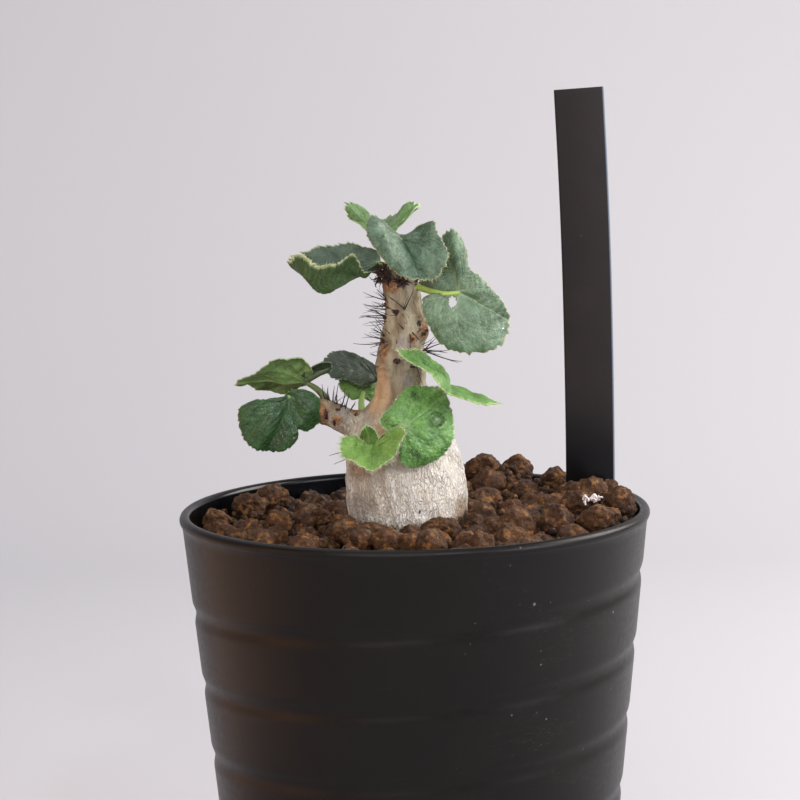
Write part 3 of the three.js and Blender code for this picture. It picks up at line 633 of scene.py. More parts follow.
def surface(sheet: Sheet, gloss: Gloss, colour: object, roughness: object, height: object = None,
            depth: float = 0.1) -> bpy.types.Node:
    """Ends a material with its shader.

    Args:
        sheet: the material's sheet.
        gloss: numbers that are the same all over.
        colour: base colour.
        roughness: roughness.
        height: height of the relief from 0 to 1, or None for none.
        depth: millimetres between its lowest and its highest.

    Returns:
        The shader node.
    """
    inputs: dict[str | int, object] = {
        "Base Color": colour, "Roughness": roughness, "Specular IOR Level": gloss.specular,
        "Sheen Weight": gloss.sheen, "Sheen Roughness": gloss.sheen_roughness,
        "Subsurface Weight": gloss.subsurface, "Subsurface Radius": gloss.subsurface_radius,
        "Subsurface Scale": gloss.subsurface_depth * MM, "Coat Weight": gloss.coat,
        "Coat Roughness": gloss.coat_roughness,
    }
    if height is not None:
        bump = sheet.node("ShaderNodeBump", {"Height": height, "Distance": depth * MM, "Strength": 1.0})
        inputs["Normal"] = bump.outputs["Normal"]
    shader = sheet.node("ShaderNodeBsdfPrincipled", inputs)
    sheet.node("ShaderNodeOutputMaterial", {"Surface": shader.outputs[0]})
    return shader


# Pot


@dataclass
class Pot:
    """The round plastic pot: a wall with a spiral groove, a rolled rim and a foot ring."""

    height: float = 90.0
    foot_radius: float = 35.7
    taper: float = 0.1
    wall: float = 1.6
    rim_middle: float = 43.95            # radius of the middle of the rolled rim
    rim_half_width: float = 1.05
    rim_half_height: float = 1.1
    floor_under: float = 2.0             # height of the floor's underside
    floor_top: float = 3.4
    foot_inner: float = 33.9
    foot_rounding: float = 0.6
    drain_radius: float = 7.0
    groove_pitch: float = 14.0
    groove_start: float = 8.5            # below the rim, at the back
    groove_turns: float = 5.25
    groove_half_width: float = 2.4
    groove_depth: float = 0.46
    groove_fade: float = 0.12            # laps in which it comes at its start and goes at its end
    sides: int = 264
    wall_step: float = 0.6
    corner_rows: int = 6
    bead_rows: int = 24
    bead_start: float = -50.0            # degrees, where the rim's bead leaves the outer wall
    inside_rows: int = 40
    inside_top: float = 0.9              # from the middle of the bead down to the inner wall's top row
    inside_foot: float = 0.8             # from the floor up to its lowest row
    fillet: Sequence[tuple[float, float]] = ((0.1, 0.4), (0.5, 0.0))     # inwards, and above the floor
    edge_round: float = 0.3
    ring_round: float = 0.4
    floor_rows: int = 6
    floor_inset: float = 4.0

    def outer(self, height: Array | float) -> Array | float:
        """Gives the outer wall's radius at a height."""
        return self.foot_radius + self.taper * height

    def inner(self, height: Array | float) -> Array | float:
        """Gives the inner wall's radius at a height."""
        return self.outer(height) - self.wall

    def groove(self, height: Array, angle: Array) -> Array:
        """Gives the groove's depth at points of the wall.

        Args:
            height: heights above the table.
            angle: angles round the pot.

        Returns:
            How far the wall lies behind its plain cone.
        """
        turn = ((math.pi / 2 - angle) / (2 * math.pi)) % 1.0
        depth = np.zeros(np.broadcast(height, angle).shape)
        for lap in range(math.ceil(self.groove_turns)):
            place = turn + lap
            centre = self.height - self.groove_start - self.groove_pitch * place
            apart = np.clip(np.abs(height - centre) / self.groove_half_width, 0.0, 1.0)
            last = smooth_step(self.groove_turns - self.groove_fade, self.groove_turns, place)
            ends = smooth_step(0.0, self.groove_fade, place) * (1 - last)
            depth = depth + self.groove_depth * np.cos(apart * math.pi / 2) ** 2 * ends
        return depth

    def profile(self) -> tuple[Array, Array]:
        """Gives the closed outline of the wall.

        Returns:
            Rows of radius and height, and a mask of the rows that the groove may cut.
        """
        foot = [(self.foot_radius - self.foot_rounding * (1 - math.cos(a)),
                 self.foot_rounding * (1 + math.sin(a)))
                for a in np.linspace(-math.pi / 2, 0, self.corner_rows)]
        rim_centre = self.height - self.rim_half_height
        wall_top = rim_centre - self.rim_half_height - self.edge_round
        heights = np.arange(self.foot_rounding + self.wall_step, wall_top, self.wall_step)
        outside = [(self.outer(z), z) for z in heights]
        bead = [(self.rim_middle + self.rim_half_width * math.cos(a),
                 rim_centre + self.rim_half_height * math.sin(a))
                for a in np.radians(np.linspace(self.bead_start, 180, self.bead_rows))]
        rows_down = np.linspace(rim_centre - self.inside_top, self.floor_top + self.inside_foot,
                                self.inside_rows)
        inside = [(self.inner(z), z) for z in rows_down]
        wall_foot = self.inner(self.floor_top)
        fillet = [(wall_foot - inwards, self.floor_top + rise) for inwards, rise in self.fillet]
        hole_edge = self.drain_radius + self.edge_round
        rows_in = np.linspace(wall_foot - self.floor_inset, hole_edge, self.floor_rows)
        floor = [(r, self.floor_top) for r in rows_in]
        drain = [(self.drain_radius, self.floor_top - self.edge_round),
                 (self.drain_radius, self.floor_under + self.edge_round), (hole_edge, self.floor_under)]
        under = [(r, self.floor_under) for r in (
            self.drain_radius + self.floor_inset, self.foot_inner - self.floor_inset,
            self.foot_inner - self.ring_round)]
        ring = [(self.foot_inner, self.floor_under - self.ring_round),
                (self.foot_inner, self.foot_rounding / 2), (self.foot_inner + self.edge_round, 0.0)]
        rows = foot + outside + bead + inside + fillet + floor + drain + under + ring
        grooved = np.zeros(len(rows), dtype=bool)
        grooved[len(foot):len(foot) + len(outside)] = True
        return np.array(rows), grooved

    def build(self, material: bpy.types.Material) -> None:
        """Makes the pot's piece.

        Args:
            material: its finish.
        """
        rows, grooved = self.profile()
        angle = np.linspace(0, 2 * math.pi, self.sides, endpoint=False)[None, :]
        radius = rows[:, :1] - self.groove(rows[:, 1:], angle) * grooved[:, None]
        height = np.repeat(rows[:, 1:], self.sides, axis=1)
        points = np.stack([radius * np.cos(angle), radius * np.sin(angle), height], axis=-1)
        count = len(rows)
        faces = np.array(tube_faces(count + 1, self.sides, closed_ends=False)) % (count * self.sides)
        skin = Skin()
        within = rows[:, 0] < self.rim_middle - self.rim_half_width / 2
        # rows of the inner wall, which the finish paints darker as painted shade and makes glossier
        inside = within & ~grooved & (rows[:, 1] > self.floor_under)
        skin.add(points, faces, inside=np.repeat(inside.astype(float), self.sides))
        finished("pot_shell", skin.mesh("pot_shell"), ["pot"], material)


def pot_finish(effects: Effects) -> bpy.types.Material:
    """Satin near-black plastic with dust, small scratches and soft unevenness, and a painted shade that makes
    the inner wall darker and bluer.

    Args:
        effects: shared groups.

    Returns:
        The material.
    """
    material, sheet = new_material("pot_plastic_satin")
    place = sheet.place()
    tone = sheet.group(effects.mottle, {"Vector": place, "Broad": 0.045, "Fine": 0.9, "Balance": 0.25})
    base = sheet.mix(tone.outputs["Tone"], linear("0d0a09"), linear("130f0d"))
    # painted shade: the inner wall gets a darker, bluer colour than the outside
    base = sheet.mix(sheet.value("inside"), base, linear("06080b"))
    dust = sheet.group(effects.specks, {"Vector": place, "Scale": 0.34, "Share": 0.26, "Size": 0.13})
    lint = sheet.group(effects.specks, {"Vector": place, "Scale": 1.1, "Share": 0.04, "Size": 0.22})
    lines = sheet.place((0.25, 0.25, 0.9))
    scratch = sheet.group(effects.cracks, {"Vector": lines, "Scale": 0.12, "Wander": 6.0, "Width": 0.006})
    across = sheet.node("ShaderNodeSeparateXYZ", {0: place}).outputs["X"]
    patches = sheet.ease(sheet.noise(place, 0.07, 3.0), 0.36, 0.56)
    handled = sheet.times(sheet.ease(across, 2.0, 22.0), patches)
    scratched = sheet.times(scratch.outputs["Mask"], sheet.times(handled, 0.12))
    dusty = sheet.math("MAXIMUM", dust.outputs["Mask"], lint.outputs["Mask"])
    marks = sheet.math("MAXIMUM", sheet.times(dusty, sheet.math("ADD", handled, 0.08)), scratched)
    colour = sheet.mix(marks, base, linear("6f6a66"))
    outside = sheet.ease(tone.outputs["Fine"], 0.2, 0.8, 0.32, 0.42)
    roughness = sheet.math("SUBTRACT", outside, sheet.times(sheet.value("inside"), 0.16))
    grain = sheet.noise(place, 5.0, 2.0)
    surface(sheet, Gloss(specular=0.2), colour, roughness, grain, 0.006)
    return material


# Wood


@dataclass(frozen=True)
class Station:
    """A place on a limb: the centre and the radius there."""

    x: float
    y: float
    z: float
    radius: float


@dataclass
class Limb:
    """A round limb through stations."""

    stations: Sequence[Station]

    def along(self, shares: Array) -> tuple[Array, Array]:
        """Gives centres and radii.

        Args:
            shares: places from 0 at the foot to 1 at the tip.

        Returns:
            Rows of centres, and radii.
        """
        centres = open_curve(np.array([(s.x, s.y, s.z) for s in self.stations], dtype=float), shares)
        girths = open_curve(np.array([(s.radius, i, 0.0) for i, s in enumerate(self.stations)]), shares)
        return centres, girths[:, 0]

    def frames(self, shares: Array) -> tuple[Array, Array, Array, Array, Array]:
        """Gives the limb's frames, turned as little as can be.

        Args:
            shares: places along the limb.

        Returns:
            Centres, radii, tangents and two directions across.
        """
        centres, radii = self.along(shares)
        step = 1e-4
        ahead = self.along(np.minimum(shares + step, 1.0))[0]
        behind = self.along(np.maximum(shares - step, 0.0))[0]
        tangents = unit(ahead - behind)
        across = np.zeros_like(tangents)
        side = np.cross(np.array([0.0, -1.0, 0.01]), tangents[0])
        for i, tangent in enumerate(tangents):
            side = side - tangent * np.dot(side, tangent)
            side = side / np.linalg.norm(side)
            across[i] = side
        return centres, radii, tangents, across, np.cross(tangents, across)

    def rays(self, shares: Array, sides: int, dome: int) -> tuple[Array, Array, Array]:
        """Gives the rays that a skin's points lie on, with a round end past the tip.

        Args:
            shares: places along the limb.
            sides: rays round it.
            dome: rings of the round end.

        Returns:
            Origins, directions and plain lengths, as rings of rays.
        """
        centres, radii, tangents, across, up = self.frames(shares)
        turns = np.linspace(0, 2 * math.pi, sides, endpoint=False)[None, :, None]
        round_way = across[:, None] * np.cos(turns) + up[:, None] * np.sin(turns)
        origins = np.repeat(centres[:, None], sides, axis=1)
        lengths = np.repeat(radii[:, None], sides, axis=1)
        lifts = np.linspace(0, math.pi / 2, dome + 1)[1:-1, None, None]
        ends = round_way[-1][None] * np.cos(lifts) + tangents[-1] * np.sin(lifts)
        last = (len(lifts), sides)
        origins = np.concatenate([origins, np.broadcast_to(centres[-1], (*last, 3))])
        lengths = np.concatenate([lengths, np.full(last, radii[-1])])
        return origins, np.concatenate([round_way, ends]), lengths


def ball_chain(points: Array, centres: Array, radii: Array) -> Array:
    """Gives the distance of points from a chain of balls.

    Args:
        points: the points.
        centres: the balls' middles.
        radii: their radii.

    Returns:
        A distance for each point, below zero inside.
    """
    best = np.full(len(points), np.inf)
    for centre, radius in zip(centres, radii):
        best = np.minimum(best, np.linalg.norm(points - centre, axis=1) - radius)
    return best


def soft_union(first: Array, second: Array, reach: float) -> Array:
    """Joins two distances with a fillet."""
    near = np.maximum(reach - np.abs(first - second), 0.0) / reach
    return np.minimum(first, second) - near * near * reach / 4


class MarkKind(Enum):
    """What a mark on the bark is."""

    SCAR = "scar"
    NODE = "node"
    STAIN = "stain"
    TAN = "tan"
    GREY = "grey"


@dataclass(frozen=True)
class Mark:
    """A mark on the bark: where it is, how far it reaches and how far it stands out."""

    kind: MarkKind
    centre: Point
    reach: Point
    rise: float = 0.0


@dataclass
class Wood:
    """The root, the caudex, the stem and the branch as one skin, with the shed leaves' marks."""

    trunk: Limb = field(default_factory=lambda: Limb([
        Station(-1.5, 1.5, 56, 1.6), Station(-1.0, 1.2, 66, 4.2), Station(-1.2, 0.8, 76, 7.6),
        Station(-1.4, 0.6, 84, 10.0), Station(-1.4, 0.5, 90, 11.4), Station(-1.5, 0.5, 94.5, 11.5),
        Station(-2.0, 0.5, 99, 10.6), Station(-2.5, 0.4, 103, 8.7), Station(-2.4, 0.2, 106.5, 6.7),
        Station(-2.1, 0, 110, 5.1), Station(-2.1, 0, 114, 4.6), Station(-2.1, 0, 118, 4.5),
        Station(-1.8, 0, 121, 4.1), Station(-1.2, 0, 126, 3.8), Station(-1.5, 0, 130, 3.4),
        Station(-1.9, 0, 134, 3.3), Station(-2.1, 0, 136.4, 2.2),
    ]))
    branch: Limb = field(default_factory=lambda: Limb([
        Station(-4.0, 0, 103.6, 3.2), Station(-8.0, -0.4, 104.8, 2.9), Station(-11.5, -0.8, 106.2, 2.5),
        Station(-14.5, -1.0, 107.8, 2.4), Station(-17.0, -1.2, 109.0, 2.3), Station(-18.2, -1.3, 109.6, 1.6),
    ]))
    knobs: Sequence[Station] = (
        Station(0.5, -0.7, 124.2, 2.5), Station(-4.2, -0.8, 119.0, 2.1), Station(-3.4, -0.4, 134.4, 1.7),
    )
    marks: Sequence[Mark] = (
        Mark(MarkKind.SCAR, (-2.9, -3.6, 127.8), (1.15, 2.0, 0.6), -0.2),
        Mark(MarkKind.SCAR, (-2.8, -4.5, 118.6), (0.9, 2.0, 0.7), 0.12),
        Mark(MarkKind.SCAR, (0.2, -4.2, 117.6), (0.9, 2.0, 0.5), 0.12),
        Mark(MarkKind.SCAR, (1.5, -3.2, 125.6), (0.5, 1.4, 0.9), 0.1),
        Mark(MarkKind.SCAR, (2.4, -2.6, 123.4), (0.7, 1.4, 0.5), 0.1),
        Mark(MarkKind.SCAR, (0.2, -3.8, 122.6), (0.5, 1.4, 0.5), 0.1),
        Mark(MarkKind.SCAR, (-16.4, -3.6, 108.6), (0.5, 1.4, 1.5), 0.1),
        Mark(MarkKind.SCAR, (-14.9, -3.4, 107.0), (0.4, 1.4, 1.1), 0.1),
        Mark(MarkKind.SCAR, (-14.0, -3.4, 109.4), (0.9, 1.4, 0.4), 0.1),
        Mark(MarkKind.SCAR, (-10.7, -2.9, 108.4), (0.7, 1.4, 0.55), 0.1),
        Mark(MarkKind.SCAR, (-5.6, -2.4, 122.2), (0.9, 2.0, 0.6), 0.1),
        Mark(MarkKind.SCAR, (-5.2, -1.6, 129.0), (0.8, 2.0, 0.8), 0.1),
        Mark(MarkKind.SCAR, (-5.0, -1.6, 126.6), (0.7, 2.0, 0.6), 0.1),
        Mark(MarkKind.SCAR, (1.0, -10.8, 90.8), (0.35, 1.5, 0.45), -0.1),
        Mark(MarkKind.NODE, (2.4, -1.6, 124.4), (1.7, 3.0, 2.3), 0.25),
        Mark(MarkKind.NODE, (0.4, -3.8, 122.8), (1.6, 2.0, 1.2), 0.12),
        Mark(MarkKind.NODE, (-5.0, -1.6, 119.8), (1.0, 3.0, 2.6), 0.15),
        Mark(MarkKind.NODE, (-17.4, -1.6, 108.4), (2.4, 4.0, 3.4), 0.1),
        Mark(MarkKind.NODE, (-14.4, -2.6, 107.4), (1.6, 3.0, 1.2), 0.12),
        Mark(MarkKind.NODE, (-10.6, -1.2, 108.8), (1.2, 3.0, 0.9), 0.25),
        Mark(MarkKind.NODE, (-3.6, -2.6, 132.6), (2.6, 3.0, 1.6), 0.15),
        Mark(MarkKind.NODE, (-4.6, -2.6, 129.2), (0.9, 3.0, 1.6), 0.05),
        Mark(MarkKind.TAN, (-9.6, -5.0, 100.0), (5.6, 7.0, 4.4)),
        Mark(MarkKind.TAN, (-6.6, -3.0, 113.0), (3.2, 6.0, 7.0)),
        Mark(MarkKind.TAN, (-5.0, -4.0, 105.4), (4.0, 7.0, 3.0)),
        Mark(MarkKind.GREY, (-13.0, -2.0, 108.0), (1.5, 5.0, 3.4)),
        Mark(MarkKind.GREY, (-1.6, -4.2, 121.6), (1.4, 3.0, 2.6)),
        Mark(MarkKind.GREY, (-0.6, -4.6, 114.0), (1.7, 4.0, 3.2)),
        # painted shade: the grey patch low on the caudex's left
        Mark(MarkKind.GREY, (-9.6, -5.6, 91.6), (4.6, 6.0, 3.4)),
        Mark(MarkKind.STAIN, (9.8, -5.0, 89.4), (3.0, 6.0, 4.2)),
        Mark(MarkKind.STAIN, (4.0, -10.0, 87.2), (9.0, 6.0, 2.2)),
        Mark(MarkKind.STAIN, (-8.0, -8.0, 87.2), (8.0, 6.0, 2.0)),
        Mark(MarkKind.STAIN, (-4.0, 11.0, 88.6), (10.0, 5.0, 3.0)),
    )
    # Ridges where leaves were shed, as height at the middle, slope across, rise and half width.
    ridges: Sequence[tuple[float, float, float, float]] = (
        (117.1, -0.03, 0.34, 0.45), (115.9, 0.05, 0.12, 0.3), (121.4, 0.06, 0.16, 0.4),
        (126.6, 0.1, 0.16, 0.5), (130.8, -0.1, 0.2, 0.5), (112.2, 0.06, 0.1, 0.5),
    )
    trunk_sides: int = 240
    trunk_rings: int = 360
    branch_sides: int = 96
    branch_rings: int = 110
    dome_rings: int = 10
    fillet: float = 2.4                  # how far a branch's fillet reaches
    fit_rounds: int = 3
    fit_share: float = 0.8               # how much of what is left each round takes up
    trunk_balls: int = 150
    branch_every: int = 3                # the branch has a ball at every third of those places
    buried_share: float = 3 / 16         # the trunk's part in the soil, with rings wide apart
    buried_rings: int = 20
    stem_heights: tuple[float, float] = (107.0, 111.0)       # where the stem's ridges start
    stem_left: float = -8.0              # and how far to the left they reach
    stem_middle: float = -2.0
    wrinkle: float = 0.17                # depth of the bark's wrinkles
    wrinkle_scale: float = 1.5
    lump: float = 1.6                    # height of its lumps, for each millimetre of the wrinkles
    lump_scale: float = 0.22

    def distance(self, points: Array) -> Array:
        """Gives the distance of points from the smooth wood.

        Args:
            points: the points.

        Returns:
            A distance for each point, below zero inside.
        """
        shares = np.linspace(0, 1, self.trunk_balls)
        stem = ball_chain(points, *self.trunk.along(shares))
        limb = ball_chain(points, *self.branch.along(shares[::self.branch_every]))
        whole = soft_union(stem, limb, self.fillet)
        for knob in self.knobs:
            centre = np.array([[knob.x, knob.y, knob.z]])
            whole = soft_union(whole, ball_chain(points, centre, np.array([knob.radius])), self.fillet / 2)
        return whole

    def mark_values(self, points: Array) -> dict[str, Array]:
        """Gives how strong each kind of mark is at points of the bark, and the rise there.

        Args:
            points: the points.

        Returns:
            A number for each point under each kind's name, and the rise in millimetres under rise.
        """
        values = {kind.value: np.zeros(len(points)) for kind in MarkKind}
        values["rise"] = np.zeros(len(points))
        stem = smooth_step(*self.stem_heights, points[:, 2]) * (points[:, 0] > self.stem_left)
        for height, slope, rise, width in self.ridges:
            wander = 0.3 * unevenness(points, 4.0, 300 + int(height))
            apart = (points[:, 2] - height - slope * (points[:, 0] - self.stem_middle) - wander) / width
            strength = 0.55 + 0.45 * unevenness(points, 3.0, 330 + int(height))
            values["rise"] += rise * np.exp(-apart ** 2) * strength * stem
        values["rise"] += 0.16 * unevenness(points * np.array([1, 1, 0.45]), 2.4, 360)
        for mark in self.marks:
            apart = np.linalg.norm((points - np.array(mark.centre)) / np.array(mark.reach), axis=1)
            strength = 1 - smooth_step(0.35, 1.15, apart)
            values[mark.kind.value] = np.maximum(values[mark.kind.value], strength)
            values["rise"] += mark.rise * strength
        return values

    def add_limb(self, skin: Skin, limb: Limb, shares: Array, sides: int) -> None:
        """Adds a limb's skin, fitted to the whole wood with its fillets.

        Args:
            skin: mesh to add to.
            limb: the limb.
            shares: places of its rings.
            sides: points round it.
        """
        origins, ways, lengths = limb.rays(shares, sides, self.dome_rings)
        flat_origins, flat_ways = origins.reshape(-1, 3), ways.reshape(-1, 3)
        reach = lengths.reshape(-1).copy()
        for _ in range(self.fit_rounds):
            left = self.distance(flat_origins + flat_ways * reach[:, None])
            reach -= self.fit_share * np.minimum(left, 0.0)
        points = flat_origins + flat_ways * reach[:, None]
        values = self.mark_values(points)
        points = points + flat_ways * values.pop("rise")[:, None]
        add_tube(skin, points.reshape(origins.shape), **values)

    def build(self, material: bpy.types.Material, relief: Relief) -> None:
        """Makes the wood's piece.

        Args:
            material: its finish.
            relief: the tree that roughens it.
        """
        skin = Skin()
        buried = np.linspace(0, self.buried_share, self.buried_rings, endpoint=False)
        shown = np.linspace(self.buried_share, 1, self.trunk_rings - self.buried_rings)
        self.add_limb(skin, self.trunk, np.concatenate([buried, shown]), self.trunk_sides)
        self.add_limb(skin, self.branch, np.linspace(0, 1, self.branch_rings), self.branch_sides)
        mesh = grown("wood", relief.tree, skin.mesh("wood_smooth"), {
            "Stretch": UPRIGHT, "Lump": self.wrinkle * self.lump * MM, "Lump Scale": self.lump_scale,
            "Grit": self.wrinkle * MM, "Grit Scale": self.wrinkle_scale, "Material": material,
        })
        finished("wood", mesh, ["plant_body"])


# The inputs of every tree that roughens a shape.
ROUGH_INPUTS = {"Stretch": SocketKind.VECTOR, "Lump": SocketKind.NUMBER, "Lump Scale": SocketKind.NUMBER,
                "Grit": SocketKind.NUMBER, "Grit Scale": SocketKind.NUMBER, "Material": SocketKind.MATERIAL}


class Relief:
    """A Geometry Nodes tree that roughens a mesh along its normals by lumps and grit."""

    def __init__(self) -> None:
        """Builds the tree."""
        sheet, entry, leave = shape_tree("Relief", ROUGH_INPUTS)
        moved = roughened(sheet, entry.outputs["Geometry"], entry)
        self.tree = dressed_tree(sheet, moved, entry, leave)


def millimetres(sheet: Sheet) -> bpy.types.NodeSocket:
    """Returns the place of a shape's points in millimetres."""
    return sheet.scaled(sheet.node("GeometryNodeInputPosition").outputs[0], 1 / MM)


def pushed_out(sheet: Sheet, shape: bpy.types.NodeSocket, height: bpy.types.NodeSocket) -> bpy.types.Node:
    """Moves a shape's points along its normals by a height in metres and returns the node."""
    offset = sheet.scaled(sheet.node("GeometryNodeInputNormal").outputs[0], height)
    return sheet.node("GeometryNodeSetPosition", {"Geometry": shape, "Offset": offset})


def roughened(sheet: Sheet, shape: bpy.types.NodeSocket, entry: bpy.types.Node) -> bpy.types.Node:
    """Roughens a shape by lumps and grit, drawn out as Stretch says, and returns the node."""
    place = sheet.vectors("MULTIPLY", millimetres(sheet), entry.outputs["Stretch"])
    return pushed_out(sheet, shape, rough_height(sheet, place, entry))


def rough_height(sheet: Sheet, place: bpy.types.NodeSocket, entry: bpy.types.Node) -> bpy.types.NodeSocket:
    """Draws the height of lumps with creases between them, and of grit on them.

    Args:
        sheet: the Geometry Nodes sheet.
        place: coordinates in millimetres.
        entry: the group's input node, with Lump, Lump Scale, Grit and Grit Scale.

    Returns:
        The height in metres.
    """
    broad = sheet.noise(place, entry.outputs["Lump Scale"], 2.0)
    lumps = sheet.times(sheet.math("SUBTRACT", broad, 0.5), entry.outputs["Lump"])
    cells = sheet.cells(place, entry.outputs["Grit Scale"])
    crease = sheet.math("SUBTRACT", 0.45, cells.outputs["Distance"])
    fine = sheet.noise(place, sheet.times(entry.outputs["Grit Scale"], 2.3), 2.0)
    mixed = sheet.math("ADD", crease, sheet.times(sheet.math("SUBTRACT", fine, 0.5), 0.9))
    return sheet.math("ADD", lumps, sheet.times(mixed, entry.outputs["Grit"]))


def bark_finish(effects: Effects) -> bpy.types.Material:
    """Pale bark with upright wrinkles and cracks, tan and brown patches, scars and soil stains, and painted
    shade: darker cracks, a grey patch low on the caudex's left and a stem darker than its own brown.

    Args:
        effects: shared groups.

    Returns:
        The material.
    """
    material, sheet = new_material("bark_pale")
    place = sheet.place()
    upright = sheet.place(UPRIGHT)
    tone = sheet.group(effects.mottle, {"Vector": place, "Broad": 0.16, "Fine": 1.9, "Balance": 0.35})
    cream = sheet.mix(tone.outputs["Tone"], linear("efe6d6"), linear("fdf9f0"))
    height = sheet.node("ShaderNodeSeparateXYZ", {0: place}).outputs["Z"]
    ragged = sheet.math("ADD", height, sheet.times(tone.outputs["Fine"], 5.0))
    stem = sheet.ease(ragged, 104.0, 113.0)
    streaks = sheet.ease(sheet.noise(upright, 0.45, 3.0), 0.38, 0.64)
    # the stem's own browner bark, made darker still as painted shade from the leaves above it
    stem_tone_and_shade = sheet.mix(streaks, linear("7a6a51"), linear("aaa088"))
    colour = sheet.mix(stem, cream, stem_tone_and_shade)
    spread = sheet.math("SUBTRACT", tone.outputs["Fine"], 0.5)
    frayed = sheet.math("SUBTRACT", sheet.noise(place, 1.9, 5.0, 0.75), 0.5)

    def mask(kind: MarkKind, low: float, high: float, edge: object = spread, share: float = 3.8) -> object:
        """Gives a mark's mask with a ragged edge.

        Args:
            kind: the kind of mark.
            low: value where the mask starts.
            high: value where it is full.
            edge: what makes its edge ragged.
            share: how ragged.

        Returns:
            The mask.
        """
        value = sheet.value(kind.value)
        ragged_edge = sheet.times(sheet.math("MINIMUM", value, 0.5), sheet.times(edge, share))
        return sheet.ease(sheet.math("ADD", value, ragged_edge), low, high)

    flecks = sheet.ease(sheet.noise(place, 1.7, 3.0, 0.7), 0.4, 0.62)
    rust = sheet.mix(flecks, linear("6b4023"), linear("b07c48"))
    colour = sheet.tint(colour, mask(MarkKind.TAN, 0.0, 1.0), 0.8, "c7a27a")
    # grey patches; the one low on the caudex's left is painted shade
    colour = sheet.tint(colour, mask(MarkKind.GREY, 0.0, 1.0), 0.6, "a39d98")
    colour = sheet.mix(sheet.times(mask(MarkKind.NODE, 0.1, 0.9), 0.85), colour, rust)
    colour = sheet.tint(colour, mask(MarkKind.STAIN, 0.0, 1.0), 0.75, "8f6a45")
    wrinkles = sheet.group(effects.cracks, {"Vector": upright, "Scale": 1.45, "Wander": 1.7, "Width": 0.2})
    fine = sheet.group(effects.cracks, {"Vector": upright, "Scale": 3.2, "Wander": 0.9, "Width": 0.22})
    young = sheet.math("SUBTRACT", 1.0, sheet.times(stem, 0.8))
    patchy = sheet.times(sheet.ease(sheet.noise(place, 0.2, 2.0), 0.35, 0.65, 0.45, 1.0), young)
    # painted shade: the bark is darkened in the cracks of the wrinkles and of the fine net
    dark = sheet.times(wrinkles.outputs["Mask"], patchy)
    colour = sheet.tint(colour, dark, 0.32, "8a7462")
    colour = sheet.tint(colour, fine.outputs["Mask"], 0.16, "83705f")
    char = sheet.mix(sheet.ease(sheet.noise(place, 2.8, 3.0), 0.45, 0.7), linear("140a09"), linear("5a3424"))
    colour = sheet.mix(mask(MarkKind.SCAR, 0.3, 0.62, frayed, 6.5), colour, char)
    low = sheet.times(fine.outputs["Height"], sheet.times(young, 0.3))
    relief = sheet.math("ADD", sheet.times(wrinkles.outputs["Height"], patchy), low)
    relief = sheet.math("ADD", relief, sheet.times(tone.outputs["Fine"], 0.3))
    gloss = Gloss(specular=0.4, subsurface=0.1, subsurface_radius=(1.0, 0.7, 0.5), subsurface_depth=0.8)
    surface(sheet, gloss, colour, sheet.ease(tone.outputs["Fine"], 0.2, 0.8, 0.45, 0.7), relief, 0.42)
    return material


# Bristles and hairs


class Strands:
    """Thin tapered strands through points, made from bare paths by Geometry Nodes."""

    def __init__(self) -> None:
        """Builds the tree."""
        inputs = {"Sides": SocketKind.WHOLE, "Material": SocketKind.MATERIAL}
        sheet, entry, leave = shape_tree("Strands", inputs)
        path = sheet.node("GeometryNodeMeshToCurve", {0: entry.outputs["Geometry"]})
        ring = sheet.node("GeometryNodeCurvePrimitiveCircle", {
            "Resolution": entry.outputs["Sides"], "Radius": 1.0})
        girth = sheet.node("GeometryNodeInputNamedAttribute", {"Name": "girth"}, data_type="FLOAT")
        skin = sheet.node("GeometryNodeCurveToMesh", {
            "Curve": path.outputs[0], "Profile Curve": ring.outputs[0], "Scale": girth.outputs[0],
            "Fill Caps": True})
        self.tree = dressed_tree(sheet, skin, entry, leave)

    def grow(self, name: str, made: Sequence[Strand], sides: int,
             material: bpy.types.Material) -> bpy.types.Mesh:
        """Makes the strands.

        Args:
            name: name of the mesh.
            made: the strands, in millimetres.
            sides: sides of a strand.
            material: its finish.

        Returns:
            One mesh of all the strands.
        """
        points = np.vstack([path for path, _ in made]) * MM
        girths = np.concatenate([radii for _, radii in made]) * MM
        edges = []
        start = 0
        for path, _ in made:
            edges += [(start + i, start + i + 1) for i in range(len(path) - 1)]
            start += len(path)
        mesh = bpy.data.meshes.new(name + "_paths")
        mesh.from_pydata(points.tolist(), edges, [])
        layer = mesh.attributes.new("girth", "FLOAT", "POINT")
        layer.data.foreach_set("value", girths.astype(np.float32))
        return grown(name, self.tree, mesh, {"Sides": sides, "Material": material})


def strand(foot: Array, tip: Array, radius: float, bend: Array, steps: int = 6,
           tip_share: float = 0.25) -> Strand:
    """Gives a tapered, slightly bent strand.

    Args:
        foot: where it leaves the surface.
        tip: its end.
        radius: radius at the foot.
        bend: how far its middle stands aside.
        steps: stretches along it.
        tip_share: the tip's radius as a share of the foot's.

    Returns:
        Its points, and the radius at each.
    """
    share = np.linspace(0, 1, steps + 1)[:, None]
    points = foot + (tip - foot) * share + bend * 4 * share * (1 - share)
    return points, radius * (1 - (1 - tip_share) * share[:, 0])


@dataclass(frozen=True)
class Tuft:
    """A tuft of bristles: its foot, its main direction, and the bristles' number, length and spread."""

    foot: Point
    way: Point
    count: int
    length: float
    spread: float


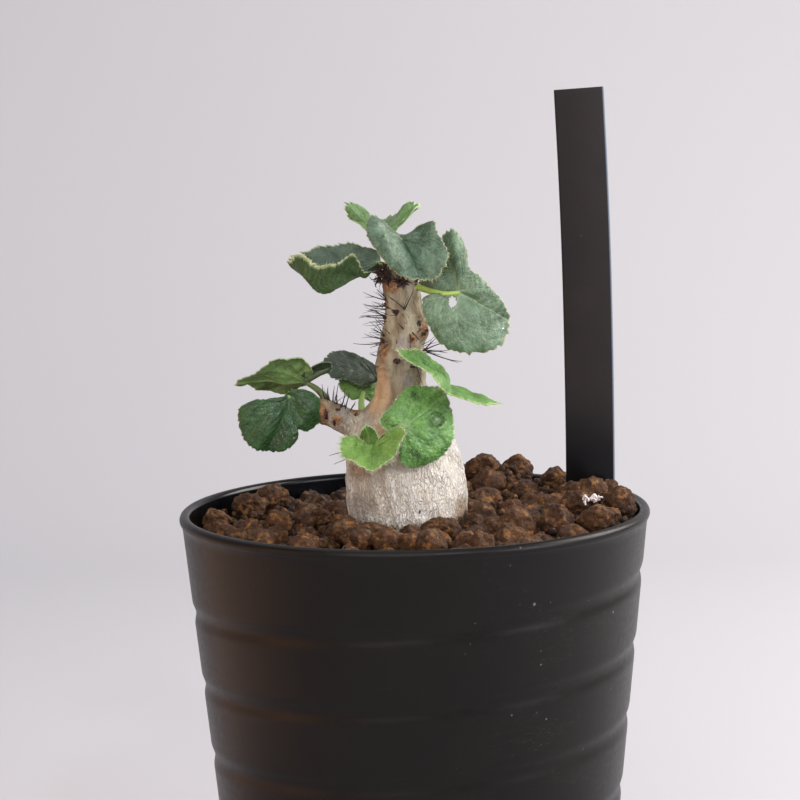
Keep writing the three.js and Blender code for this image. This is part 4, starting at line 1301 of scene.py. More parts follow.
@dataclass
class Bristles:
    """The dark, partly forked bristles at the old leaf bases, and the scales of the growing tip."""

    tufts: Sequence[Tuft] = (
        Tuft((-4.6, -1.2, 128.8), (-1, -0.2, 0.45), 8, 4.4, 38),
        Tuft((-4.8, -1.0, 126.4), (-1, -0.15, 0.1), 6, 4.6, 24),
        Tuft((-4.6, -1.6, 122.4), (-1, -0.3, 0.15), 9, 4.8, 48),
        Tuft((-6.0, -1.2, 119.0), (-1, -0.5, 0.1), 6, 2.2, 55),
        Tuft((1.8, -1.8, 120.6), (1, -0.3, 0.25), 6, 4.4, 40),
        Tuft((0.6, -3.2, 124.6), (0.1, -0.9, 0.5), 5, 3.2, 60),
        Tuft((-2.0, -3.6, 128.2), (-0.3, -0.8, 0.6), 4, 3.4, 45),
        Tuft((-2.4, -3.9, 120.4), (0.2, -0.9, -0.2), 3, 2.4, 60),
        Tuft((-15.5, -1.4, 110.6), (-0.1, -0.3, 1), 8, 3.2, 50),
        Tuft((-12.4, -1.6, 109.4), (0.1, -0.4, 1), 5, 2.4, 50),
        Tuft((-5.0, 1.6, 124.0), (-0.6, 0.9, 0.2), 6, 3.8, 45),
        Tuft((0.6, 3.0, 122.0), (0.5, 1, 0.2), 6, 3.8, 45),
        Tuft((-2.0, 3.4, 128.0), (0, 1, 0.4), 5, 3.4, 45),
    )
    # The bristles that stand out at the front, as foot and tip.
    single: Sequence[tuple[Point, Point]] = (
        ((-4.6, -1.2, 129.9), (-8.9, -1.2, 131.5)), ((-4.8, -1.2, 128.8), (-9.0, -1.4, 129.3)),
        ((-4.2, -1.6, 129.9), (-6.3, -1.8, 132.1)), ((-4.7, -1.3, 126.5), (-9.6, -1.5, 127.0)),
        ((-4.6, -1.2, 126.9), (-9.9, -1.0, 126.6)), ((-4.8, -1.2, 126.3), (-7.7, -1.2, 128.3)),
        ((-4.7, -1.6, 122.7), (-6.6, -1.8, 125.8)), ((-4.8, -1.6, 122.7), (-7.6, -1.8, 124.7)),
        ((-4.8, -1.6, 122.5), (-8.9, -1.9, 123.7)), ((-4.9, -1.6, 122.1), (-11.0, -2.2, 121.9)),
        ((-4.9, -1.6, 121.9), (-7.8, -2.0, 121.0)), ((2.6, -1.8, 120.5), (4.7, -2.0, 122.6)),
        ((2.6, -1.8, 120.3), (7.3, -2.2, 120.4)), ((2.8, -1.8, 120.1), (9.6, -2.4, 118.1)),
        ((2.7, -1.8, 120.4), (6.4, -2.1, 121.6)), ((-1.1, -3.8, 128.4), (-4.4, -5.2, 131.2)),
        ((-1.1, -3.8, 128.4), (0.7, -5.2, 132.2)), ((-1.3, -3.8, 124.5), (-2.6, -5.0, 126.0)),
        ((0.2, -3.6, 124.0), (1.8, -5.0, 122.4)), ((-0.3, -3.8, 123.7), (-0.3, -5.0, 120.9)),
        ((0.9, -3.9, 117.6), (2.0, -5.0, 114.0)), ((-17.1, -1.4, 111.0), (-17.9, -1.8, 113.1)),
        ((-16.6, -1.4, 111.2), (-17.1, -1.6, 114.2)), ((-15.8, -1.4, 110.8), (-16.0, -1.8, 113.6)),
        ((-15.1, -1.4, 110.6), (-14.7, -1.6, 113.8)), ((-14.3, -1.4, 110.3), (-13.9, -1.6, 114.5)),
        ((-13.5, -1.4, 109.8), (-12.8, -1.8, 113.3)), ((-12.8, -1.4, 109.3), (-11.8, -1.8, 112.5)),
        ((-9.6, -5.0, 101.8), (-15.8, -9.4, 101.6)), ((-9.4, -5.4, 100.8), (-15.0, -9.0, 99.9)),
    )
    root: float = 0.9
    foot_spread: float = 0.5
    shortest: float = 0.6
    radius: float = 0.15
    tuft_radius: float = 0.1
    tuft_salt: int = 100                 # the first tuft's salt, and the step to the next one's
    tuft_salt_step: int = 10
    single_salt: int = 900
    drift: float = 0.16                  # how far a bristle bends, for each millimetre of its length
    sides: int = 6
    fork_share: float = 0.55             # share of the bristles that fork
    fork_least: float = 1.6              # length of the shortest one that does
    fork_from: int = 3                   # the point of the bristle that its twig leaves at
    fork_lean: float = 1.1
    fork_length: float = 0.38            # of the bristle's length
    fork_girth: float = 0.62             # of its radius
    fork_drift: float = 0.1
    fork_steps: int = 4
    scale_salt: int = 500
    scale_salt_step: float = 0.37
    scale_stray: float = 0.6             # how much a scale's direction differs from straight outwards
    scale_depth: float = 0.75            # share of a clump's reach in which scales start
    scale_lengths: tuple[float, float] = (0.35, 0.5)     # least share of the reach, and its range
    scale_bow: float = 0.5
    scale_radii: tuple[float, float] = (0.12, 0.17)      # least radius, and its range
    scale_full_reach: float = 1.6        # reach of the smallest clump with scales of full width
    scale_steps: int = 5
    scale_tip: float = 0.2               # a scale's radius at its tip, as a share
    scale_sides: int = 7
    # The clumps of scales round the growing tip, as centre, reach and number.
    clumps: Sequence[tuple[Point, float, int]] = (
        ((-5.0, -2.7, 134.9), 2.0, 110), ((-1.6, -3.4, 133.6), 1.6, 60), ((-2.2, 0.4, 135.2), 2.6, 60),
        ((1.2, -1.8, 133.4), 1.1, 20), ((-5.2, -1.6, 129.0), 0.5, 7), ((-5.4, -2.2, 122.2), 0.5, 8),
        ((-5.0, -1.4, 126.6), 0.4, 5), ((-16.2, -1.6, 111.0), 0.8, 10), ((-13.6, -1.6, 110.0), 0.8, 10),
        ((2.6, -2.2, 120.4), 0.5, 7), ((0.6, -4.0, 117.6), 0.4, 5), ((2.8, -2.4, 124.0), 0.6, 7),
    )

    def forked(self, foot: Array, tip: Array, radius: float, salt: int) -> list[Strand]:
        """Gives a bristle, and often a short side twig on it.

        Args:
            foot: where it leaves the wood.
            tip: its end.
            radius: radius at the foot.
            salt: keeps its draws apart from the others'.

        Returns:
            One strand or two.
        """
        drift = np.array([draw(salt, k) - 0.5 for k in (1, 2, 3)])
        length = float(np.linalg.norm(tip - foot))
        made = [strand(foot, tip, radius, drift * self.drift * length)]
        if draw(salt, 4) < self.fork_share and length > self.fork_least:
            origin = made[0][0][self.fork_from]
            aside = np.array([draw(salt, k) - 0.5 for k in (5, 6, 7)])
            way = unit((tip - foot) / length + self.fork_lean * aside)
            end = origin + way * length * self.fork_length
            bend = drift * self.fork_drift
            made.append(strand(origin, end, radius * self.fork_girth, bend, self.fork_steps))
        return made

    def tuft_strands(self, tuft: Tuft, salt: int) -> list[Strand]:
        """Gives the bristles of a tuft, by the same draws as in the part's source.

        Args:
            tuft: the tuft.
            salt: keeps its draws apart from the others'.

        Returns:
            Strands.
        """
        axis = unit(np.array(tuft.way, dtype=float))
        side = unit(np.cross(axis[[1, 2, 0]], axis))
        other = np.cross(axis, side)
        made: list[Strand] = []
        for i in range(tuft.count):
            tilt = math.radians(tuft.spread) * math.sqrt(draw(i, salt))
            turn = 2 * math.pi * (i + draw(i, salt + 1)) / tuft.count
            reach = tuft.length * (self.shortest + (1 - self.shortest) * draw(i, salt + 2))
            round_way = side * math.cos(turn) + other * math.sin(turn)
            foot = np.array(tuft.foot) - axis * self.root + round_way * self.foot_spread
            way = axis * math.cos(tilt) + round_way * math.sin(tilt)
            made += self.forked(foot, foot + way * (reach + self.root), self.tuft_radius, salt * 31 + i)
        return made

    def scale_strands(self) -> list[Strand]:
        """Gives the dark scales, tangled round the growing tip.

        Returns:
            Strands.
        """
        made: list[Strand] = []
        for number, (centre, reach, count) in enumerate(self.clumps):
            for i in range(count):
                salt = self.scale_salt + number
                place, aside, bow = (
                    np.array([draw(i, salt + k * self.scale_salt_step) - 0.5 for k in three])
                    for three in ((1, 2, 3), (4, 5, 6), (7, 8, 9)))
                way = unit(place + self.scale_stray * aside)
                foot = np.array(centre) + unit(place) * reach * self.scale_depth * draw(i, salt + 0.2)
                length = self.scale_lengths[0] + self.scale_lengths[1] * draw(i, salt + 0.3)
                tip = foot + way * reach * length
                wide = self.scale_radii[1] * min(reach, self.scale_full_reach) / self.scale_full_reach
                radius = self.scale_radii[0] + wide * draw(i, salt + 0.4)
                bend = bow * self.scale_bow * reach
                made.append(strand(foot, tip, radius, bend, self.scale_steps, self.scale_tip))
        return made

    def build(self, strands: Strands, material: bpy.types.Material,
              scale_material: bpy.types.Material) -> None:
        """Makes the bristles' and the scales' pieces.

        Args:
            strands: the tree that makes strands.
            material: the bristles' finish.
            scale_material: the scales' finish.
        """
        made: list[Strand] = []
        for i, tuft in enumerate(self.tufts):
            made += self.tuft_strands(tuft, self.tuft_salt + self.tuft_salt_step * i)
        for i, (foot, tip) in enumerate(self.single):
            ends = np.array([foot, tip], dtype=float)
            made += self.forked(ends[0], ends[1], self.radius, self.single_salt + i)
        mesh = strands.grow("bristles", made, self.sides, material)
        finished("bristles", mesh, ["plant_body"])
        mesh = strands.grow("tip_scales", self.scale_strands(), self.scale_sides, scale_material)
        finished("tip_scales", mesh, ["plant_body"])


def plain_finish(name: str, dark: str, light: str, roughness: float, effects: Effects, scale: float = 1.2,
                 gloss: Gloss = Gloss()) -> bpy.types.Material:
    """Makes a finish of two mottled tones with a fine relief.

    Args:
        name: the material's name.
        dark: darker tone.
        light: lighter tone.
        roughness: roughness in the middle.
        effects: shared groups.
        scale: fineness of the mottling, for each millimetre.
        gloss: numbers that are the same all over.

    Returns:
        The material.
    """
    material, sheet = new_material(name)
    tone = sheet.group(effects.mottle, {
        "Vector": sheet.place(), "Broad": scale, "Fine": scale * 4, "Balance": 0.4})
    colour = sheet.mix(tone.outputs["Tone"], linear(dark), linear(light))
    rough = sheet.ease(tone.outputs["Fine"], 0.2, 0.8, roughness - 0.08, roughness + 0.08)
    surface(sheet, gloss, colour, rough, tone.outputs["Fine"], 0.05)
    return material


# Leaves


@dataclass(frozen=True)
class LeafColours:
    """The screen colours of a leaf."""

    upper: str
    upper_light: str
    under: str
    vein: str = "8fa98a"
    margin: str = "a9b690"
    stalk: str = "8fae5c"
    sheen: float = 0.25
    roughness: float = 0.5
    glow: float = 0.12                   # how much light passes into the blade
    down: float = 0.12                   # how much its fine hairs whiten it
    vein_share: float = 0.4


GREY_GREEN = LeafColours("2b4a2c", "6d8b6e", "4b6b3b", vein="b9cba6", margin="b3ae8a", stalk="a9c25e",
                         sheen=0.06, roughness=0.38, down=0.25, vein_share=0.65)
DUSK_GREEN = LeafColours("243f28", "5f7d65", "4b6b3b", vein="93a98c", margin="a8a67f", sheen=0.04,
                         roughness=0.4, down=0.25)
SHADE_GREEN = LeafColours("182617", "364535", "24391d", vein="4c5c47", margin="5c6b47", stalk="4a5a38",
                          sheen=0.02, vein_share=0.15)
DEEP_GREEN = LeafColours("143610", "2d5424", "2d4a25", vein="6d8a60", margin="5c7345", sheen=0.0,
                         roughness=0.3, vein_share=0.25)
TROUGH_GREEN = LeafColours("2c4231", "5d7263", "264710", vein="5f7f43", margin="c3c896", sheen=0.1)
OLIVE_GREEN = LeafColours("4f7440", "98b277", "648747", vein="a3ab7c", margin="93a070", stalk="5d7040",
                          sheen=0.1, vein_share=0.2)
FRESH_GREEN = LeafColours("2f5f17", "74a84f", "4f8733", vein="a6cf94", margin="bdd6a0", sheen=0.02,
                          roughness=0.26, vein_share=0.7)
EDGE_GREEN = LeafColours("2c5a14", "5f8f38", "44701f", vein="86a862", margin="a8c47c", sheen=0.04, glow=0.16)
TIP_GREEN = LeafColours("33561d", "5f8a45", "3f6a22", vein="9cb878", margin="d0dfa8", sheen=0.15, glow=0.16)
OLIVE_BUD = LeafColours("5c5f2a", "7f8a45", "5f6a2c", vein="a0a56a", margin="b8c48a", sheen=0.15, glow=0.16)
YOUNG_GREEN = LeafColours("4f7a22", "84ad4c", "5f8a2c", vein="a2c078", margin="cfdfb0", sheen=0.15, glow=0.2)
BRIGHT_GREEN = LeafColours("37631f", "6c9545", "44701f", vein="8fb06c", margin="bccf94", sheen=0.15,
                           glow=0.16)


@dataclass(frozen=True)
class Drop:
    """A water drop on the front of a blade: its place across and up, its radius and its height."""

    x: float
    z: float
    radius: float
    height: float


@dataclass(frozen=True)
class LeafForm:
    """One leaf: the rim as x, y, z and bulge from the tip on, and its stalk."""

    name: str
    slot: str
    colours: LeafColours
    joint: Point
    wave: tuple[float, int]
    rim: Sequence[tuple[float, float, float, float]]
    stalk: Sequence[Point]
    swell: Point | None = None
    fold: tuple[float, float] = (0.0, 0.0)    # the crease's place round the rim, and how steeply it is folded
    teeth: float = 0.03                  # how far the teeth stand out, as a share of the blade's reach
    pucker: float = 0.3                  # millimetres
    hairs: int = 150
    hair_length: float = 0.55
    drops: Sequence[Drop] = ()
    mist: int = 0                        # tiny drops besides those
    hole: tuple[float, float, float, float] | None = None    # where the lobes part: x, z and half sizes
    extra: str = ""                      # name of a further fold of the same leaf


LEAVES: Sequence[LeafForm] = (
    LeafForm(
        "leaf_right", "leaf_mature", GREY_GREEN, (9, -4, 131.5), (0.25, 7), (
            (18.7, -3, 125.5, 0.3), (17.4, -3.5, 129.3, 0.6), (15.4, -4, 131.8, 0.8), (13.2, -4, 134.2, 0.8),
            (11.1, -3.6, 136, 0.8), (10.7, -3.3, 139.2, 0.9), (8.5, -3, 143, 1), (6, -1.5, 141.5, 0.6),
            (2.5, -1, 137, 0.2), (2, -2, 133, 0), (5.5, -3, 132, 0),
            (8.5, -4, 130.5, 0), (5.5, -4.5, 130.5, 0.2), (2.5, -4.5, 130.5, 0.3), (2.5, -5, 127, 0.6),
            (5.5, -5.5, 122, 0.9), (10.5, -5.5, 120, 1), (16.5, -4.5, 121, 0.6),
        ), ((-0.5, -1, 133), (3, -2.4, 131.9), (6, -4.1, 131.1), (9, -4.25, 131.3)),
        hairs=170, hair_length=0.4, mist=16, hole=(7.9, 129.6, 0.9, 1.3),
        drops=(Drop(16.8, 126.8, 0.34, 0.26), Drop(14.5, 124.4, 0.3, 0.22), Drop(14.2, 123.5, 0.24, 0.2),
               Drop(7.7, 126.6, 0.28, 0.22)),
    ),
    LeafForm(
        "leaf_top_front", "leaf_mature", DUSK_GREEN, (-1.5, -3.5, 141.5), (0.25, 7), (
            (2.5, -8.5, 134, -0.6), (5, -8.5, 134.5, 0.2), (7, -7.5, 137.5, 0.4), (6.5, -6.5, 140, 0.4),
            (5, -5, 142.5, 0.3), (4.5, -4, 144.5, 0.2), (1.5, -3.5, 143.5, 0), (-1, -3, 142, 0),
            (-3, -3, 143, 0),
            (-5.5, -3, 145, 1), (-7.5, -4.5, 145, 1.4), (-8, -6.5, 143, 1.8), (-7, -8, 140.5, 2),
            (-4.5, -9, 137, 2), (-1, -9, 134.5, 1.2),
        ), ((-1.6, -0.6, 134), (-1.6, -1.2, 137), (-1.6, -2.2, 139.6), (-1.5, -3.4, 141.5)),
        fold=(0.0, 0.16), hairs=150, hair_length=0.4, mist=14,
        drops=(Drop(5.6, 137.2, 0.3, 0.22), Drop(5.1, 139.4, 0.26, 0.2)),
    ),
    LeafForm(
        "leaf_top_left", "leaf_dark", TROUGH_GREEN, (-6, -1.5, 137), (0.25, 8), (
            (-22.5, -1, 137.5, 3), (-21, -4, 139, 4), (-18.5, -6, 138, 5), (-16.5, -6.5, 137, 5.2),
            (-14, -7, 137.5, 4.6), (-11, -6, 139, 3.2), (-9.5, -5, 137.5, 2), (-8.5, -4, 135.5, 1),
            (-7, -2, 135.5, 0.2), (-5.5, -0.5, 137, 0.2), (-6.5, 1.5, 139.5, 0.4), (-9.5, 3.5, 140, 0.8),
            (-12.5, 4.5, 140.5, 1), (-16, 4.5, 140, 1.2), (-20, 3, 139, 1.6), (-22, 1, 138.5, 2.2),
        ), ((-2.4, -0.4, 134.6), (-3.8, -0.8, 135.8), (-5, -1.2, 136.6), (-6, -1.5, 137)),
        swell=(-0.75, -0.1, -0.93), teeth=0.045, hairs=190, hair_length=0.35,
    ),
    LeafForm(
        "leaf_top_back", "leaf_young", TIP_GREEN, (-5, 2, 141.5), (0.35, 9), (
            (-5.5, 13, 144.5, 0), (-8, 12, 145.5, 0.2), (-10.5, 9, 147.5, 0.3), (-12, 6, 147.5, 0.3),
            (-11, 4, 145, 0.3), (-8, 2, 143, 0.2), (-5, 1, 141.5, 0), (-2.5, 2.5, 142.5, 0.2),
            (0.5, 4, 146, 0.3), (2, 6.5, 147, 0.3), (0, 9, 147.5, 0.3), (-3, 12, 145, 0.2),
        ), ((-2.6, 0.8, 134.6), (-3.4, 1.4, 137.4), (-4.4, 1.8, 140), (-5, 2, 141.5)),
        teeth=0.07, hairs=150, hair_length=0.45,
    ),
    LeafForm(
        "leaf_left_low", "leaf_dark", DEEP_GREEN, (-23.5, -3, 112), (0.2, 8), (
            (-27.5, -4.5, 102, 0.8), (-24.5, -5, 102, 0.8), (-22, -4.5, 104, 0.6), (-22, -4, 106, 0.2),
            (-20, -3.5, 105.5, 0.6), (-17.5, -3, 107.5, 0.8), (-17.5, -2.5, 111, 0.8),
            (-19.5, -2.5, 113, 0.5),
            (-21.5, -3, 113.5, 0.1), (-23.5, -3, 113, 0), (-25, -3.5, 111.5, 0.2), (-27.5, -4, 111, 0.4),
            (-29.5, -4, 111.5, 0.6), (-32.5, -4.5, 110.5, 0.8), (-33, -4.5, 108, 1), (-32, -5, 104.5, 1),
            (-30, -5, 102.5, 0.9),
        ), ((-16, -1, 109.2), (-18.6, -0.8, 110.2), (-21.4, -1.4, 111.4), (-23.5, -2.9, 112)),
        teeth=0.016, hairs=90, hair_length=0.3, mist=12,
        drops=(Drop(-27.9, 109.4, 0.26, 0.2), Drop(-20.7, 110.8, 0.22, 0.2), Drop(-31.2, 107.1, 0.22, 0.18),
               Drop(-24.6, 104.5, 0.5, 0.16), Drop(-23.6, 104.7, 0.6, 0.2), Drop(-22.6, 104.9, 0.5, 0.16)),
    ),
    LeafForm(
        "leaf_left_high", "leaf_mature", OLIVE_GREEN, (-20.5, 3.5, 114), (0.25, 7), (
            (-34, 4, 114, 0.3), (-31, 1.5, 115.5, 0.8), (-27.5, 0, 118, 1), (-24, -0.5, 119, 1),
            (-21, 0.5, 118.5, 0.8), (-19, 2, 116.5, 0.3), (-20, 3.5, 114, 0), (-21, 6, 113, 0.3),
            (-23.5, 7.5, 111.5, 0.6), (-27, 8.5, 111.5, 0.8), (-30, 7, 112.5, 0.6), (-32, 5.5, 113.5, 0.4),
        ), ((-15.5, 0, 109), (-16.6, 1.4, 111), (-18.4, 2.8, 112.8), (-20.5, 3.5, 114)),
        teeth=0.018, hairs=80, hair_length=0.3,
    ),
    LeafForm(
        "leaf_left_high", "leaf_mature", SHADE_GREEN, (-16.2, 3.4, 116.4), (0.1, 4), (
            (-21.2, 2.6, 115.2, 0.2), (-19.6, 2.0, 116.7, 0.4), (-17.6, 1.8, 117.7, 0.4),
            (-15.8, 2.6, 118.0, 0.2),
            (-15.4, 3.4, 116.8, 0), (-16.4, 3.8, 115.6, 0.1), (-18.8, 3.4, 114.9, 0.3),
        ), ((-20.6, 3.6, 114.2), (-19.2, 3.4, 115), (-17.6, 3.4, 115.8), (-16.2, 3.4, 116.4)),
        teeth=0.02, pucker=0.15, hairs=40, hair_length=0.3, extra="_fold",
    ),
    LeafForm(
        "leaf_middle_back", "leaf_mature", SHADE_GREEN, (-7, 6.5, 114.5), (0.2, 7), (
            (-17.5, 5, 117, 0.5), (-15.5, 3, 115, 0.4), (-13, 3, 114.5, 0.5), (-10.5, 3, 113.5, 0.5),
            (-8.5, 4, 113, 0.3), (-6.5, 5.5, 114, 0), (-6.5, 7, 115, 0), (-6.5, 8.5, 116, 0.2),
            (-9, 10.5, 117.5, 0.3), (-12, 11.5, 118.5, 0.4), (-15, 11.5, 119, 0.3), (-16.5, 8.5, 118, 0.3),
        ), ((-3, 2, 112.6), (-4.6, 4, 113.4), (-6, 5.6, 114), (-7, 6.5, 114.5)),
        hairs=80, hair_length=0.3,
    ),
    LeafForm(
        "leaf_small_back", "leaf_young", BRIGHT_GREEN, (-9.5, 5, 111.5), (0.15, 6), (
            (-7.5, 8.5, 114.1, 0.2), (-10, 8.5, 114.2, 0.3), (-12.5, 7.5, 114.2, 0.4), (-14, 6, 113.8, 0.4),
            (-13.5, 5, 112, 0.3), (-12, 4.5, 110.5, 0.2), (-10, 4.5, 110.5, 0), (-8.5, 5, 110, 0.2),
            (-7, 5.5, 109, 0.2), (-6.3, 7, 110.4, 0.3), (-6.3, 8, 112.6, 0.3),
        ), ((-9, 0.6, 106), (-9.6, 1.6, 107.8), (-9.8, 3.4, 109.8), (-9.5, 5, 111.5)),
        hairs=70, hair_length=0.35,
    ),
    LeafForm(
        "leaf_right_edge", "leaf_young", EDGE_GREEN, (7, -5.5, 114), (0.2, 7), (
            (7, -16, 113.5, 0.5), (11.5, -14, 111.5, 0.3), (16, -9.5, 110.8, 0.2), (13, -7, 111.2, 0.1),
            (9.5, -5, 112.2, 0.1), (7.5, -4.5, 114, 0), (5.5, -3.5, 117, 0.5), (2.5, -5.5, 120, 0.5),
            (-0.5, -7.5, 121, 0.3), (-2.5, -10, 121, 0.3), (-0.5, -12.5, 119.5, 0.4), (3.5, -15, 117, 0.5),
        ), ((0, -1, 112.6), (3, -2.6, 112.4), (5.4, -4.2, 112.8), (7, -5.5, 114)),
        teeth=0.045, hairs=190, hair_length=0.9,
    ),
    LeafForm(
        "leaf_front_large", "leaf_mature", FRESH_GREEN, (-1.5, -12, 107), (0.2, 8), (
            (5.5, -9, 114, -0.6), (2.5, -9, 114.5, -0.2), (-0.5, -9.5, 114.5, 0.3), (-3.5, -10.5, 111.5, 0.5),
            (-5.5, -11.5, 109.5, 0.5), (-6, -12, 108, 0.3), (-4.5, -12.5, 106.5, 0.1),
            (-2.5, -12.5, 106.5, 0),
            (-2.5, -13.5, 104, 0.2), (-2.5, -14, 101.5, 0.4), (-0.5, -14, 100, 0.6), (2.5, -13.5, 100.5, 0.8),
            (5.5, -12.5, 102, 0.8), (7.5, -11.5, 104.5, 0.8), (8, -10.5, 107, 0.6), (7, -9.5, 111, 0.3),
        ), ((-2, -3, 107.5), (-2, -7, 107), (-1.8, -9.8, 106.8), (-1.5, -11.9, 107)),
        fold=(0.97, -0.3), teeth=0.02, hairs=150, hair_length=0.5, mist=26,
        drops=(Drop(4.4, 108.4, 1.75, 0.75), Drop(0.4, 112.4, 0.95, 0.4), Drop(-0.1, 107.6, 0.4, 0.3),
               Drop(-1.2, 106.8, 0.32, 0.26), Drop(0.6, 108.4, 0.34, 0.26), Drop(-0.2, 102.5, 0.6, 0.4),
               Drop(0.8, 101.9, 0.5, 0.34), Drop(0.2, 101.2, 0.4, 0.3), Drop(1.6, 102.6, 0.34, 0.26),
               Drop(6.9, 109.7, 0.3, 0.24), Drop(-3.3, 112.0, 0.3, 0.22), Drop(-3.8, 107.6, 0.36, 0.26)),
    ),
    LeafForm(
        "leaf_front_young", "leaf_young", YOUNG_GREEN, (-7.5, -12, 102.5), (0.2, 7), (
            (-7.5, -17.5, 100, 0.3), (-4, -17, 101, 0.4), (-2, -16.4, 103.5, 0.4), (-1, -15.8, 105.3, 0.3),
            (-2, -14.6, 106.2, 0.2), (-4, -12.8, 105.3, 0.1), (-6.5, -11, 103.5, 0), (-9, -11.5, 104, 0.1),
            (-11.5, -12, 105, 0.2), (-13, -13, 104, 0.3), (-13, -14.5, 101.5, 0.4),
            (-10.5, -16.5, 100.5, 0.4),
        ), ((-5, -4, 101.5), (-6, -8, 101.2), (-6.8, -10.4, 101.4), (-7.5, -11.9, 102.4)),
        fold=(0.0, 0.3), teeth=0.035, pucker=0.4, hairs=420, hair_length=0.8,
    ),
    LeafForm(
        "leaf_front_bud", "leaf_young", OLIVE_BUD, (-6.6, -10.6, 102.6), (0.1, 5), (
            (-3.4, -14.4, 106.6, 0.2), (-2.9, -13.6, 105.4, 0.2), (-3.4, -12.6, 103.8, 0.2),
            (-4.8, -11.4, 102.6, 0.1),
            (-6.8, -10.4, 102.2, 0), (-7.2, -11.2, 103.6, 0.1), (-6.2, -12.8, 105.4, 0.2),
            (-4.6, -14.0, 106.6, 0.2),
        ), ((-5.4, -4, 102.6), (-5.8, -7, 102.4), (-6.2, -9.4, 102.4), (-6.6, -10.6, 102.6)),
        teeth=0.04, hairs=90, hair_length=0.5, extra="_second",
    ),
    LeafForm(
        "leaf_front_bud", "leaf_young", YOUNG_GREEN, (-8, -10, 103), (0.1, 5), (
            (-9, -12.5, 107.5, 0.1), (-7.5, -12, 107, 0.2), (-6.5, -11.5, 105, 0.2), (-6.5, -10, 103.5, 0.1),
            (-8, -9.5, 102.5, 0), (-9.5, -10, 103.5, 0.1), (-10, -11, 105.5, 0.2),
        ), ((-6, -4, 103), (-6.8, -7, 102.6), (-7.6, -9, 102.6), (-8, -10, 103)),
        hairs=110, hair_length=0.5,
    ),
)


class Side(IntEnum):
    """The two faces of a blade."""

    UPPER = 1
    UNDER = -1


